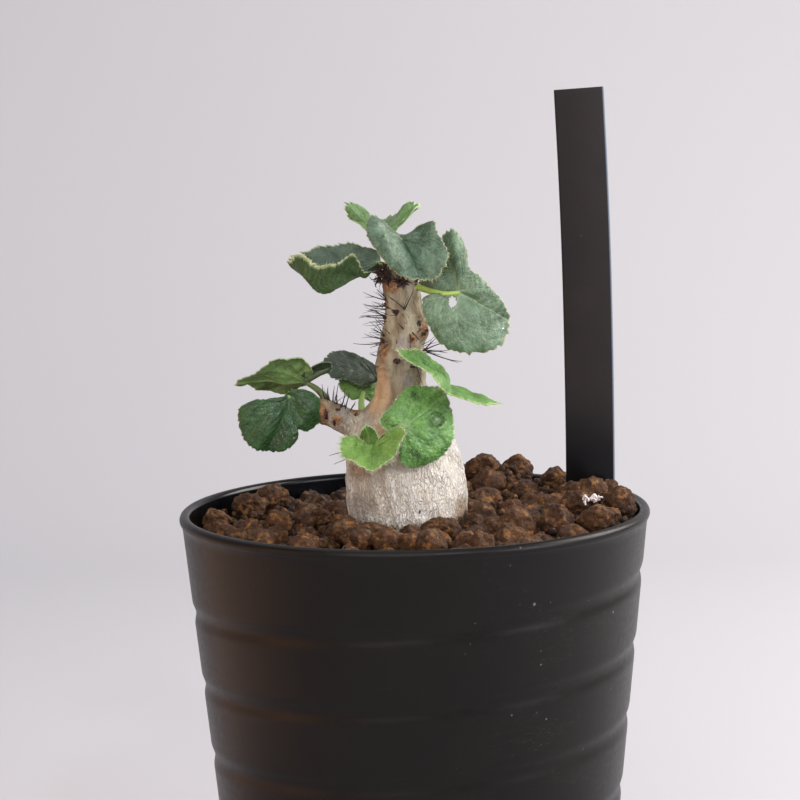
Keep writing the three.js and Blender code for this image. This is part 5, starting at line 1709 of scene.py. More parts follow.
@dataclass
class Leaf:
    """Builds one leaf from its form."""

    form: LeafForm
    rings: int = 26
    around: int = 176
    thickness: float = 0.36
    edge_thickness: float = 0.16
    stalk_sides: int = 14
    stalk_rings: int = 26
    stalk_radii: Sequence[float] = (0.7, 0.68, 0.6, 0.42)
    veins: int = 7
    vein_width: float = 0.2              # half width of a main vein at the joint
    vein_depth: float = 0.1
    vein_valley: float = 0.75            # half width of the valley that a main vein lies in
    twig_starts: Sequence[float] = (0.22, 0.38, 0.54, 0.7, 0.84)
    twig_lean: float = 0.19              # how fast a side vein leaves its main vein
    twig_reach: float = 0.075            # how far from its main vein one may run, as a share of a turn
    vein_bend: float = 0.012             # how far the outer main veins wander, as a share of a turn
    quilt_size: float = 2.6              # distance between the blade's swellings
    quilts: Sequence[tuple[float, float]] = ((0.9, 2.2), (0.45, 1.0), (0.12, 0.5))   # strength, share of that
    side_vein: float = 0.5               # strength of the other main veins beside the midrib's
    wave_shares: Sequence[float] = (0.55, 0.45, 0.35, 0.2)      # strengths of the rim's waves of teeth
    wave_counts: Sequence[float] = (2.7, 3.9, 1.7, 5.3)         # and their number for each point of the rim
    drop_sides: int = 24
    drop_lifts: tuple[float, float, int] = (-1.45, 1.5, 9)       # first and last angle, and rings between
    drop_under: float = 0.35             # a drop's depth below its middle, as a share of its height
    mist_shares: tuple[float, float] = (0.3, 0.65)       # least share of the reach, and its range
    mist_radii: tuple[float, float] = (0.1, 0.12)        # least radius, and its range
    mist_height: float = 0.8             # as a share of the radius

    def face_normal(self) -> Array:
        """Gives the direction that the upper face looks in."""
        spokes = np.array(self.form.rim, dtype=float)[:, :3] - np.array(self.form.joint, dtype=float)
        return unit(np.cross(spokes, np.roll(spokes, -1, axis=0)).sum(axis=0))

    def tooth(self, turns: Array) -> Array:
        """Gives how far the teeth push the rim out.

        Args:
            turns: places round the rim.

        Returns:
            A share of the blade's reach at each place.
        """
        count = len(self.form.rim)
        total = np.zeros(turns.shape)
        for k, (waves, strength) in enumerate(zip(self.wave_counts, self.wave_shares)):
            total += strength * np.sin(2 * math.pi * (round(waves * count) * turns + draw(count, k)))
        return self.form.teeth * total

    def vein_apart(self, turns: Array, shares: Array, reach: Array) -> tuple[Array, Array, Array]:
        """Gives how strong the veins are on the blade.

        Args:
            turns: places round the rim.
            shares: places from the joint to the rim.
            reach: distance from the joint to the rim at each place round it.

        Returns:
            The strength of the main veins, of the side veins and of the valleys round them, as grids.
        """
        turn, share = np.meshgrid(turns, shares)
        length = np.broadcast_to(reach, turn.shape)
        main, side, valley = (np.zeros(turn.shape) for _ in range(3))
        for number in range(self.veins):
            rank = number - (self.veins - 1) // 2
            bend = self.vein_bend * np.sin(4.5 * share + number * 1.7) * (rank != 0)
            offset = (turn - rank / (self.veins + 1) - self.form.fold[0] - bend + 0.5) % 1.0 - 0.5
            apart = np.abs(offset) * 2 * math.pi * length * share
            strength, girth = (1.0, 1.6) if rank == 0 else (self.side_vein, 1.0)
            width = girth * self.vein_width * (1.15 - share)
            main = np.maximum(main, strength * np.exp(-(apart / np.maximum(width, 0.07)) ** 2))
            valley = np.maximum(valley, np.exp(-(apart / self.vein_valley) ** 2))
            for k, start in enumerate(self.twig_starts):
                start = start + 0.05 * (draw(number, k) - 0.5) + 0.06 * (offset > 0)
                lean = self.twig_lean * (share - start)
                away = np.abs(np.abs(offset) - lean) * 2 * math.pi * length * share
                near = (share > start) * (np.abs(offset) < self.twig_reach)
                side = np.maximum(side, np.exp(-(away / (0.55 * self.vein_width)) ** 2) * near)
                valley = np.maximum(valley, 0.7 * np.exp(-(away / (0.6 * self.vein_valley)) ** 2) * near)
        return main, side, valley

    def blade(self) -> tuple[Array, Array, Array, Array]:
        """Gives the blade's middle surface.

        Returns:
            A grid of points from the joint out, and the grids of normals, main veins and side veins.
        """
        form = self.form
        joint = np.array(form.joint, dtype=float)
        normal = self.face_normal()
        swell = np.array(form.swell) if form.swell else normal
        turns = np.linspace(0, 1, self.around, endpoint=False)
        rim = closed_curve(np.array(form.rim, dtype=float), turns)
        shares = np.linspace(1 / self.rings, 1, self.rings)
        share = shares[:, None, None]
        spokes = rim[None, :, :3] - joint
        points = joint + spokes * share * (1 + self.tooth(turns)[None, :, None] * share ** 6)
        points = points + swell * rim[None, :, 3:] * 4 * share * (1 - share) * (0.5 + share)
        amplitude, waves = form.wave
        ripple = amplitude * np.sin(2 * math.pi * waves * turns + len(form.rim))
        points = points + normal * ripple[None, :, None] * share ** 3
        reach = np.linalg.norm(spokes[0], axis=-1)
        main, side, valley = self.vein_apart(turns, shares, reach)
        place, slope = form.fold
        crease = rim[round(place * self.around) % self.around, :3] - joint
        ridge_side = np.cross(normal, unit(crease))
        points = points + normal * (slope * np.abs((points - joint) @ ridge_side))[..., None]
        ups = self.grid_normals(points)
        salt = 600 + 10 * len(form.rim)
        quilt = sum(strength * unevenness(points, self.quilt_size * size, salt)
                    for strength, size in self.quilts)
        relief = form.pucker * (quilt + 0.8 * (1 - valley))
        relief = relief * np.minimum(1, 3 * share[..., 0]) * (1 - 0.7 * share[..., 0] ** 8)
        relief = relief - self.vein_depth * main - 0.5 * self.vein_depth * side
        points = points + ups * relief[..., None]
        return points, self.grid_normals(points), main, side

    @staticmethod
    def grid_normals(points: Array) -> Array:
        """Gives the normals of a polar grid of points.

        Args:
            points: the grid, from the middle out.

        Returns:
            A grid of normals.
        """
        round_way = np.roll(points, -1, axis=1) - np.roll(points, 1, axis=1)
        out_way = np.gradient(points, axis=0)
        return unit(np.cross(out_way, round_way))

    def build(self, material: bpy.types.Material) -> tuple[Array, Array]:
        """Makes the leaf's piece.

        Args:
            material: its finish.

        Returns:
            The grids of the middle surface and of its normals, for what grows and lies on it.
        """
        points, normals, main, side = self.blade()
        shares = np.linspace(1 / self.rings, 1, self.rings)[:, None]
        half = (self.thickness + (self.edge_thickness - self.thickness) * shares ** 4) / 2
        joint = np.array(self.form.joint, dtype=float)
        skin = Skin()
        share = np.broadcast_to(shares, main.shape)
        cut = self.opening(points)
        grid = np.array(tube_faces(self.rings, self.around, closed_ends=False))[~cut.reshape(-1)]
        for face in Side:
            layer = points + normals * half[..., None] * int(face)
            way = unit(normals[0].mean(axis=0))
            pole = joint + way * self.thickness / 2 * int(face)
            fan = [[self.rings * self.around, k, (k + 1) % self.around] for k in range(self.around)]
            quads = grid[:, [0, 3, 2, 1]] if face is Side.UPPER else grid
            fans = np.array(fan) if face is Side.UPPER else np.array(fan)[:, [0, 2, 1]]
            first = skin.count
            values = {"vein": main, "twig": side, "share": share}
            columns = {key: np.append(value.reshape(-1), value[0, 0]) for key, value in values.items()}
            under = 1.0 if face is Side.UNDER else 0.0
            skin.add(np.vstack([layer.reshape(-1, 3), pole[None]]), quads, under=under, stalk=0.0, **columns)
            skin.faces.append(fans + first)
        lower = self.rings * self.around + 1
        edge = (self.rings - 1) * self.around
        places = [(edge + k, edge + (k + 1) % self.around) for k in range(self.around) if not cut[-1, k]]
        skin.faces.append(np.array([[start, lower + start, lower + end, end] for start, end in places]))
        if cut.any():
            skin.faces.append(np.array(self.opening_edge(cut)))
        self.add_stalk(skin)
        name = self.form.name + self.form.extra
        finished("blade_" + name, skin.mesh(name), [self.form.name], material)
        return points, normals

    def opening(self, points: Array) -> Array:
        """Gives which four-sided faces of the blade lie in the opening between the lobes.

        Args:
            points: grid of the blade's middle surface.

        Returns:
            A mask of the faces, as a grid.
        """
        if not self.form.hole:
            return np.zeros((self.rings - 1, self.around), dtype=bool)
        x, z, wide, high = self.form.hole
        near = ((points[..., 0] - x) / wide) ** 2 + ((points[..., 2] - z) / high) ** 2 < 1
        pairs = near & np.roll(near, -1, axis=1)
        return pairs[:-1] & pairs[1:]

    def opening_edge(self, cut: Array) -> list[list[int]]:
        """Lists the faces that close the opening's edge between the two layers.

        Args:
            cut: the mask of the faces in the opening.

        Returns:
            Four-sided faces, by the numbers of the blade's points.
        """
        across = self.around
        lower = self.rings * across + 1
        kept = np.vstack([np.ones((1, across), dtype=bool), ~cut, np.zeros((1, across), dtype=bool)])
        faces = []
        for i, k in np.argwhere(cut):
            a, b = i * across + k, i * across + (k + 1) % across
            for down, aside, start, end in ((-1, 0, a, b), (1, 0, b + across, a + across),
                                            (0, 1, b, b + across), (0, -1, a + across, a)):
                if kept[i + 1 + down, (k + aside) % across]:
                    faces.append([end, start, start + lower, end + lower])
        return faces

    def add_stalk(self, skin: Skin) -> None:
        """Adds the stalk, as a round tube into the blade's joint.

        Args:
            skin: mesh to add to.
        """
        limb = Limb([Station(*place, radius) for place, radius in zip(self.form.stalk, self.stalk_radii)])
        origins, ways, lengths = limb.rays(np.linspace(0, 1, self.stalk_rings), self.stalk_sides, 4)
        rings = origins + ways * lengths[..., None]
        add_tube(skin, rings, under=0.0, stalk=1.0, vein=0.0, twig=0.0, share=0.0)

    def mist(self, points: Array) -> list[Drop]:
        """Gives the tiny drops that are strewn over the blade.

        Args:
            points: grid of its middle surface.

        Returns:
            The drops.
        """
        made = []
        for i in range(self.form.mist):
            least, extra = self.mist_shares
            place = points[int(self.rings * (least + extra * draw(i, 91))), int(self.around * draw(i, 92))]
            size = self.mist_radii[0] + self.mist_radii[1] * draw(i, 93) ** 2
            made.append(Drop(float(place[0]), float(place[2]), size, self.mist_height * size))
        return made


def leaf_finish(form: LeafForm, effects: Effects) -> bpy.types.Material:
    """A living leaf: mottled green with pale veins and margin, a fine net of cells, a soft sheen and pale
    specks that are painted highlights.

    Args:
        form: the leaf.
        effects: shared groups.

    Returns:
        The material.
    """
    colours = form.colours
    material, sheet = new_material("finish_" + form.name)
    place = sheet.place()
    tone = sheet.group(effects.mottle, {"Vector": place, "Broad": 0.32, "Fine": 2.2, "Balance": 0.4})
    upper = sheet.mix(tone.outputs["Tone"], linear(colours.upper), linear(colours.upper_light))
    shadow = sheet.mix(tone.outputs["Tone"], linear("b8b8b8"), linear("ffffff"))
    under = sheet.shade(0.35, linear(colours.under), shadow)
    colour = sheet.mix(sheet.value("under"), upper, under)
    down = sheet.ease(sheet.noise(place, 4.2, 3.0, 0.7), 0.45, 0.75)
    colour = sheet.tint(colour, down, colours.down, colours.margin)
    net = sheet.group(effects.cracks, {"Vector": place, "Scale": 1.5, "Wander": 0.5, "Width": 0.1})
    colour = sheet.tint(colour, net.outputs["Mask"], 0.1, colours.vein)
    veins = sheet.math("MAXIMUM", sheet.times(sheet.value("vein"), colours.vein_share),
                       sheet.times(sheet.value("twig"), colours.vein_share * 0.5))
    broken = sheet.times(veins, sheet.ease(tone.outputs["Fine"], 0.25, 0.6, 0.45, 1.0))
    colour = sheet.mix(broken, colour, linear(colours.vein))
    ragged = sheet.math("ADD", sheet.value("share"), sheet.times(tone.outputs["Fine"], 0.03))
    margin = sheet.ease(ragged, 0.982, 1.014)
    colour = sheet.tint(colour, margin, 0.8, colours.margin)
    # painted highlight: tiny pale specks stand for glints on the blade
    painted_glints = sheet.group(effects.specks, {"Vector": place, "Scale": 1.6, "Share": 0.1, "Size": 0.2})
    colour = sheet.tint(colour, painted_glints.outputs["Mask"], 0.6, "e4ead8")
    colour = sheet.mix(sheet.value("stalk"), colour, linear(colours.stalk))
    rough = sheet.ease(tone.outputs["Fine"], 0.25, 0.75, colours.roughness - 0.12, colours.roughness + 0.12)
    relief = sheet.math("ADD", sheet.times(net.outputs["Height"], 0.7), tone.outputs["Fine"])
    gloss = Gloss(specular=0.5, sheen=colours.sheen, sheen_roughness=0.4, subsurface=colours.glow,
                  subsurface_radius=(0.5, 1.0, 0.25), subsurface_depth=0.6)
    surface(sheet, gloss, colour, rough, relief, 0.07)
    return material


HAIR_RADIUS = 0.035
HAIR_STRAY = 0.9                     # how much a hair's direction differs from the margin's
HAIR_LIFT = 0.4                      # the share of hairs that lean to the under side
HAIR_LENGTHS = (0.55, 0.6)           # least share of the leaf's own hair length, and its range
HAIR_BEND = 0.06


def margin_hairs(form: LeafForm, points: Array, normals: Array) -> list[Strand]:
    """Gives the short gland hairs round a blade's margin.

    Args:
        form: the leaf.
        points: grid of its middle surface.
        normals: grid of its normals.

    Returns:
        Strands.
    """
    made: list[Strand] = []
    around = points.shape[1]
    for i in range(form.hairs):
        k = int(around * (i + draw(i, 71)) / form.hairs) % around
        foot = points[-1, k]
        out = unit(points[-1, k] - points[-3, k])
        drift = np.array([draw(i, s) - 0.5 for s in (72, 73, 74)])
        way = unit(out + normals[-1, k] * (draw(i, 75) - HAIR_LIFT) + drift * HAIR_STRAY)
        tip = foot + way * form.hair_length * (HAIR_LENGTHS[0] + HAIR_LENGTHS[1] * draw(i, 76))
        made.append(strand(foot, tip, HAIR_RADIUS, drift * HAIR_BEND, 2, 0.5))
    return made


def drop_rings(leaf: Leaf, drop: Drop, points: Array, normals: Array) -> Array:
    """Gives the rings of a water drop that lies on a blade.

    Args:
        leaf: the leaf.
        drop: the drop.
        points: grid of the blade's middle surface.
        normals: grid of its normals.

    Returns:
        Rings of points, from the drop's underside to its top.
    """
    apart = (points[..., 0] - drop.x) ** 2 + (points[..., 2] - drop.z) ** 2
    row, column = np.unravel_index(np.argmin(apart), apart.shape)
    up = normals[row, column] * (1 if normals[row, column, 1] < 0 else -1)
    centre = points[row, column] + up * leaf.thickness / 2
    across = unit(np.cross(up, np.array([0.3, 0.9, 0.2])))
    other = np.cross(up, across)
    turns = np.linspace(0, 2 * math.pi, leaf.drop_sides, endpoint=False)
    uneven = 1 + 0.1 * np.sin(2 * turns + drop.x * 4) + 0.05 * np.sin(3 * turns + drop.z * 3)
    rings = []
    for lift in np.linspace(*leaf.drop_lifts):
        wide = drop.radius * math.cos(lift)
        high = drop.height * math.sin(lift) * (1.0 if lift > 0 else leaf.drop_under)
        ring = across * (np.cos(turns) * uneven)[:, None] + other * (np.sin(turns) * uneven)[:, None]
        rings.append(centre + ring * wide + up * high)
    return np.array(rings)


def water_finish() -> bpy.types.Material:
    """Clear water.

    Returns:
        The material.
    """
    material, sheet = new_material("water_clear")
    shader = sheet.node("ShaderNodeBsdfPrincipled", {
        "Base Color": (1.0, 1.0, 1.0, 1.0), "Roughness": 0.02, "IOR": 1.33, "Transmission Weight": 1.0})
    sheet.node("ShaderNodeOutputMaterial", {"Surface": shader.outputs[0]})
    return material


def build_leaves(effects: Effects, strands: Strands) -> None:
    """Makes every leaf, the hairs round their margins and the water drops on them.

    Args:
        effects: shared groups.
        strands: the tree that makes strands.
    """
    hairs: list[Strand] = []
    drops = Skin()
    for form in LEAVES:
        leaf = Leaf(form)
        points, normals = leaf.build(leaf_finish(form, effects))
        hairs += margin_hairs(form, points, normals)
        for drop in (*form.drops, *leaf.mist(points)):
            add_tube(drops, drop_rings(leaf, drop, points, normals))
    soft = Gloss(subsurface=0.2, subsurface_depth=0.1)
    hair = plain_finish("hair_pale", "b9c48f", "d8dcb8", 0.5, effects, 0.5, soft)
    finished("leaf_hairs", strands.grow("leaf_hairs", hairs, 3, hair))
    finished("water_drops", drops.mesh("water_drops"), (), water_finish())


# Soil


@dataclass(frozen=True)
class Grain:
    """One granule: its middle, its radii along its own axes, its turn and its tone."""

    centre: Point
    radii: Point
    turned: Matrix
    tone: float
    kind: int


@dataclass
class Soil:
    """The granules on their bed."""

    pot: Pot
    level: float = 88.2
    tilt: float = 0.03
    core_drop: float = 3.4
    grain_count: int = 128
    grain_radius: float = 2.8
    grain_extra: float = 1.6
    spread: float = 41.0
    jitter: float = 1.6
    unevenness: float = 2.2
    sink: float = 0.6
    crowding: float = 0.35
    tip: float = 0.6
    trunk_axis: tuple[float, float] = (-1.4, 0.5)
    trunk_clearance: float = 9.0
    wall_gap: float = 0.2
    heaps: Sequence[tuple[float, float, float, float]] = (
        (14, 24, 8, 7.2), (30, 6, 13, 3.6), (-30, 20, 8, 1.6), (0, -14, 12, 1), (-30, -24, 14, -1.6),
        (4, -40, 16, -1.2),
    )
    # The granules that stand out, as x, y, height of the top, radius.
    large: Sequence[tuple[float, float, float, float]] = (
        (-32.7, 17.8, 90.1, 3.2), (-28.5, 22, 91.1, 3.2), (-26.4, -0.6, 89.6, 3.1), (-31.2, -2, 88.3, 2.6),
        (-38.6, 8.3, 88.9, 2.7), (-20.5, -11.5, 88.5, 2.1), (-18.5, 8.3, 88.3, 2.3), (-14.2, -8.1, 89.8, 3.6),
        (-7.5, -16.1, 90.2, 3.5), (-1, -15.7, 89.3, 2.8), (4.8, -12.5, 90.6, 3.4), (10.8, -8, 89.9, 2.6),
        (14, 7.8, 91.8, 3.3), (18.6, 0.6, 91, 2.7), (22.3, 12.6, 92.4, 3.4), (18.6, -14.1, 91.9, 4.3),
        (26.6, -12.2, 92, 3.4), (31.6, -2.3, 92.8, 3.1), (34.4, -14.3, 92.4, 3.4), (38.8, -4, 93.6, 3),
        (13.7, 22.4, 96.6, 3.8), (21.4, 30.5, 94.9, 3.5), (18.7, 19, 93.2, 2.4), (29, 25.3, 92.7, 3.3),
        (36, 14, 92.5, 2.8), (-20, 34, 88.2, 3.5), (-14.6, 29.8, 88.4, 3.3),
        (-12.5, -12.5, 90.4, 3.2), (-37.4, -3, 88.8, 2.7), (-33.4, -14, 89, 2.5), (-28.2, -20, 89.6, 2.5),
        (-20.5, -21, 89, 2.8), (-10.7, -19.5, 89.8, 2.7), (-5.2, -20.5, 90, 2.9), (2.6, -26, 89.8, 2.7),
        (11.6, -27, 89.9, 2.7), (31, 7, 93.6, 2.6), (34.7, 5.5, 94, 2.5), (38, 8, 93.2, 2.3),
        (28.2, 14, 94.8, 2.5),
    )
    shapes: int = 9                      # different plain stones that the granules start from
    facets: int = 9                      # flats on each of them
    shadow_patch: tuple[float, float, float] = (-16.0, 30.0, 13.0)       # middle and reach of the patch at the back left that gets a painted shadow
    bed_rings: int = 50
    bed_sides: int = 150
    bed_gap: float = 0.3                 # between the bed and the pot
    stretches: Sequence[tuple[float, float]] = ((0.85, 0.35), (0.85, 0.35), (0.8, 0.2))  # least, and range
    swelling: float = 1.06               # makes up for what the flats take off
    least_tone: float = 0.5                # the darkest tone of a granule outside the painted shadow
    flat_depths: tuple[float, float] = (0.66, 0.22)      # least depth of a flat, and its range
    flat_share: float = 0.85             # how much of what is beyond a flat goes
    lump: float = 1.3
    lump_scale: float = 0.42
    grit: float = 0.62
    grit_scale: float = 0.85
    bed_lump: float = 2.4
    bed_lump_scale: float = 0.25
    bed_grit: float = 0.8
    bed_grit_scale: float = 0.6
    front_grains: int = 20               # the large ones at the front, which get finer faces
    crumb_lift: float = 1.9
    crumb_depth: float = 2.2             # crumbs lie on the bed down to this far below its level
    crumb_density: float = 0.16          # on a square millimetre
    crumb_radii: tuple[float, float] = (0.45, 1.15)
    crystal_count: int = 16
    crystal_foot: Point = (32.0, -5.4, 91.2)
    crystal_row: float = 3.2             # length of the row that they stand in
    crystal_scatter: float = 0.5
    crystal_lean: Point = (0.5, 0.7, 0.3)
    crystal_length: float = 1.9
    crystal_radii: tuple[float, float] = (0.2, 0.1)      # least radius, and its range
    crystal_bend: float = 0.3

    def top(self, x: Array | float, y: Array | float) -> Array | float:
        """Gives the height of the granules' tops.

        Args:
            x: places to the right of the pot's middle.
            y: places behind it.

        Returns:
            Heights above the table.
        """
        height = self.level + self.tilt * x
        for cx, cy, width, rise in self.heaps:
            height = height + rise * np.exp(-((x - cx) ** 2 + (y - cy) ** 2) / (2 * width ** 2))
        return height

    def grain(self, x: float, y: float, top: float, radius: float, index: int) -> Grain:
        """Gives one granule, by the same draws as in the part's source, with the darkest tone where a shadow
        is painted on the soil.

        Args:
            x: its place to the right of the pot's middle.
            y: its place behind it.
            top: height of its top.
            radius: its radius before it is stretched.
            index: counter for its draws.

        Returns:
            The granule.
        """
        stretch = [least + extra * draw(index, 5 + i) for i, (least, extra) in enumerate(self.stretches)]
        turn = Matrix.Rotation(2 * math.pi * draw(index, 8), 3, "Z")
        lean = Matrix.Rotation(self.tip * (draw(index, 9) - 0.5), 3, "X")
        centre = (x, y, top - radius * stretch[2])
        radii = tuple(self.swelling * radius * s for s in stretch)
        # painted shadow: the granules in this patch get the darkest tone
        shadow_patch = math.hypot(x - self.shadow_patch[0], y - self.shadow_patch[1]) < self.shadow_patch[2]
        tone = 0.0 if shadow_patch else self.least_tone + (1 - self.least_tone) * draw(index, 21)
        return Grain(centre, radii, lean @ turn, tone, int(self.shapes * draw(index, 22)))

    def grains(self) -> tuple[list[Grain], list[Grain]]:
        """Gives all the granules.

        Returns:
            The large ones, and those spread between them.
        """
        large = [self.grain(*entry, self.grain_count + i) for i, entry in enumerate(self.large)]
        golden = math.pi * (3 - math.sqrt(5))
        spread = []
        for i in range(self.grain_count):
            reach = self.spread * math.sqrt((i + 0.5) / self.grain_count)
            x = reach * math.cos(i * golden) + self.jitter * (draw(i, 1) - 0.5)
            y = reach * math.sin(i * golden) + self.jitter * (draw(i, 2) - 0.5)
            radius = self.grain_radius + self.grain_extra * draw(i, 3) ** 2
            near_trunk = math.hypot(x - self.trunk_axis[0], y - self.trunk_axis[1]) < self.trunk_clearance
            room = self.crowding * radius
            crowded = any(math.hypot(x - lx, y - ly) < r + room for lx, ly, _, r in self.large)
            if not near_trunk and not crowded:
                top = self.top(x, y) + self.unevenness * (draw(i, 4) - self.sink)
                spread.append(self.grain(x, y, float(top), radius, i))
        return large, spread

    def stone(self, number: int, divisions: int) -> bpy.types.Mesh:
        """Makes a plain stone: a ball with flats on it.

        Args:
            number: which stone.
            divisions: how often the ball's faces are divided.

        Returns:
            Its mesh, of radius one.
        """
        ball = bmesh_ball(divisions)
        points = np.array([v.co for v in ball.vertices], dtype=float)
        for k in range(self.facets):
            way = unit(np.array([draw(number * 40 + k, s) - 0.5 for s in (31, 32, 33)]))
            depth = self.flat_depths[0] + self.flat_depths[1] * draw(number * 40 + k, 34)
            beyond = np.maximum(points @ way - depth, 0.0)
            points -= self.flat_share * beyond[:, None] * way
        ball.vertices.foreach_set("co", points.astype(np.float32).reshape(-1))
        ball.update()
        return ball

    def scatter(self, name: str, grains: Sequence[Grain], divisions: int, scatter: Scatter,
                material: bpy.types.Material) -> None:
        """Makes a piece of many granules.

        Args:
            name: the piece's name.
            grains: the granules.
            divisions: how often a granule's faces are divided.
            scatter: the tree that places and roughens them.
            material: their finish.
        """
        shelf = bpy.data.collections.new(name + "_stones")
        bpy.context.scene.collection.children.link(shelf)
        for number in range(self.shapes):
            stone = bpy.data.objects.new(f"{name}_stone_{number:02d}", self.stone(number, divisions))
            shelf.objects.link(stone)
        places = point_mesh(name, np.array([g.centre for g in grains]), {
            "radii": np.array([g.radii for g in grains]) * MM,
            "turned": np.array([tuple(g.turned.to_euler("XYZ")) for g in grains]),
        }, {"tone": np.array([g.tone for g in grains]), "kind": np.array([float(g.kind) for g in grains])})
        mesh = grown(name, scatter.tree, places, {
            "Stones": shelf, "Stretch": (1.0, 1.0, 1.0), "Lump": self.lump * MM,
            "Lump Scale": self.lump_scale, "Grit": self.grit * MM, "Grit Scale": self.grit_scale,
            "Material": material})
        for stone in list(shelf.objects):
            bpy.data.objects.remove(stone)
        bpy.data.collections.remove(shelf)
        self.keep_inside(mesh)
        finished(name, mesh, ["soil"])

    def keep_inside(self, mesh: bpy.types.Mesh) -> None:
        """Moves what would reach into the pot's wall back to it.

        Args:
            mesh: a mesh of the soil.
        """
        points = np.empty(len(mesh.vertices) * 3, dtype=np.float32)
        mesh.vertices.foreach_get("co", points)
        points = points.reshape(-1, 3) / MM
        radius = np.hypot(points[:, 0], points[:, 1])
        rim = self.pot.rim_middle - self.pot.rim_half_width
        limit = np.minimum(self.pot.inner(points[:, 2]), rim) - self.wall_gap
        share = np.minimum(1.0, limit / np.maximum(radius, 1e-6))
        points[:, :2] *= share[:, None]
        mesh.vertices.foreach_set("co", (points * MM).astype(np.float32).reshape(-1))
        mesh.update()

    def bed(self) -> Skin:
        """Makes the closed body of soil under the granules.

        Returns:
            Its mesh, before it is roughened.
        """
        floor = self.pot.floor_top + self.bed_gap
        reach_top = self.pot.inner(self.level - self.core_drop) - self.bed_gap
        reach_floor = self.pot.inner(floor) - self.bed_gap
        turns = np.linspace(0, 2 * math.pi, self.bed_sides, endpoint=False)
        circle = np.stack([np.cos(turns), np.sin(turns)], axis=-1)
        flat = np.full(self.bed_sides, floor)
        rings = [np.column_stack([circle * r, flat]) for r in (0.5, reach_floor / 2, reach_floor)]
        for share in np.linspace(1, 0.02, self.bed_rings):
            place = circle * reach_top * share
            rings.append(np.column_stack([place, self.top(place[:, 0], place[:, 1]) - self.core_drop]))
        skin = Skin()
        add_tube(skin, np.array(rings), tone=0.35)
        return skin

    def build(self, material: bpy.types.Material, crystal: bpy.types.Material, scatter: Scatter,
              crumbs: Crumbs, relief: Relief, strands: Strands) -> None:
        """Makes the soil's pieces.

        Args:
            material: the clay's finish.
            crystal: the crystals' finish.
            scatter: the tree that places and roughens granules.
            crumbs: the tree that strews crumbs.
            relief: the tree that roughens the bed.
            strands: the tree that makes strands.
        """
        bed = grown("soil_bed", relief.tree, self.bed().mesh("soil_bed_smooth"), {
            "Stretch": (1.0, 1.0, 1.0), "Lump": self.bed_lump * MM, "Lump Scale": self.bed_lump_scale,
            "Grit": self.bed_grit * MM, "Grit Scale": self.bed_grit_scale, "Material": material})
        self.keep_inside(bed)
        large, spread = self.grains()
        self.scatter("soil_granules_front", large[:self.front_grains], 4, scatter, material)
        self.scatter("soil_granules_large", large[self.front_grains:], 3, scatter, material)
        self.scatter("soil_granules", spread, 3, scatter, material)
        smallest, largest = self.crumb_radii
        loose = grown("soil_crumbs", crumbs.tree, bed.copy(), {
            "Lift": self.crumb_lift * MM, "Lowest": (self.level - self.core_drop - self.crumb_depth) * MM,
            "Density": self.crumb_density / MM ** 2, "Smallest": smallest * MM, "Largest": largest * MM,
            "Material": material})
        self.keep_inside(loose)
        finished("soil_crumbs", loose, ["soil"])
        finished("soil_bed", bed, ["soil"])
        mesh = strands.grow("soil_crystals", self.crystals(), 7, crystal)
        finished("soil_crystals", mesh, ["soil"])

    def crystals(self) -> list[Strand]:
        """Gives the pale crystals on a granule at the front right.

        Returns:
            Strands.
        """
        made = []
        for i in range(self.crystal_count):
            aside = self.crystal_scatter * np.array([0.0, -draw(i, 81), draw(i, 82)])
            aside[0] = self.crystal_row * (i / self.crystal_count)
            foot = np.array(self.crystal_foot) + aside
            way = np.array([draw(i, 83 + k) for k in range(3)]) - np.array(self.crystal_lean)
            radius = self.crystal_radii[0] + self.crystal_radii[1] * draw(i, 86)
            bend = np.array([0, 0, self.crystal_bend])
            made.append(strand(foot, foot + way * self.crystal_length, radius, bend, 4, 0.6))
        return made


def bmesh_ball(divisions: int) -> bpy.types.Mesh:
    """Makes a ball of radius one from even triangles.

    Args:
        divisions: how often the twenty faces are divided in four.

    Returns:
        The mesh.
    """
    golden = (1 + math.sqrt(5)) / 2
    corners = [(-1, golden, 0), (1, golden, 0), (-1, -golden, 0), (1, -golden, 0),
               (0, -1, golden), (0, 1, golden), (0, -1, -golden), (0, 1, -golden),
               (golden, 0, -1), (golden, 0, 1), (-golden, 0, -1), (-golden, 0, 1)]
    faces = [(0, 11, 5), (0, 5, 1), (0, 1, 7), (0, 7, 10), (0, 10, 11), (1, 5, 9), (5, 11, 4),
             (11, 10, 2), (10, 7, 6), (7, 1, 8), (3, 9, 4), (3, 4, 2), (3, 2, 6), (3, 6, 8),
             (3, 8, 9), (4, 9, 5), (2, 4, 11), (6, 2, 10), (8, 6, 7), (9, 8, 1)]
    points = [Vector(c).normalized() for c in corners]
    for _ in range(divisions):
        halves: dict[tuple[int, int], int] = {}

        def half(a: int, b: int) -> int:
            """Gives the point halfway between two, made once.

            Args:
                a: number of the one point.
                b: number of the other.

            Returns:
                The number of the point between them.
            """
            key = (min(a, b), max(a, b))
            if key not in halves:
                halves[key] = len(points)
                points.append((points[a] + points[b]).normalized())
            return halves[key]

        finer = []
        for a, b, c in faces:
            ab, bc, ca = half(a, b), half(b, c), half(c, a)
            finer += [(a, ab, ca), (b, bc, ab), (c, ca, bc), (ab, bc, ca)]
        faces = finer
    mesh = bpy.data.meshes.new("ball")
    mesh.from_pydata([tuple(p) for p in points], [], faces)
    return mesh


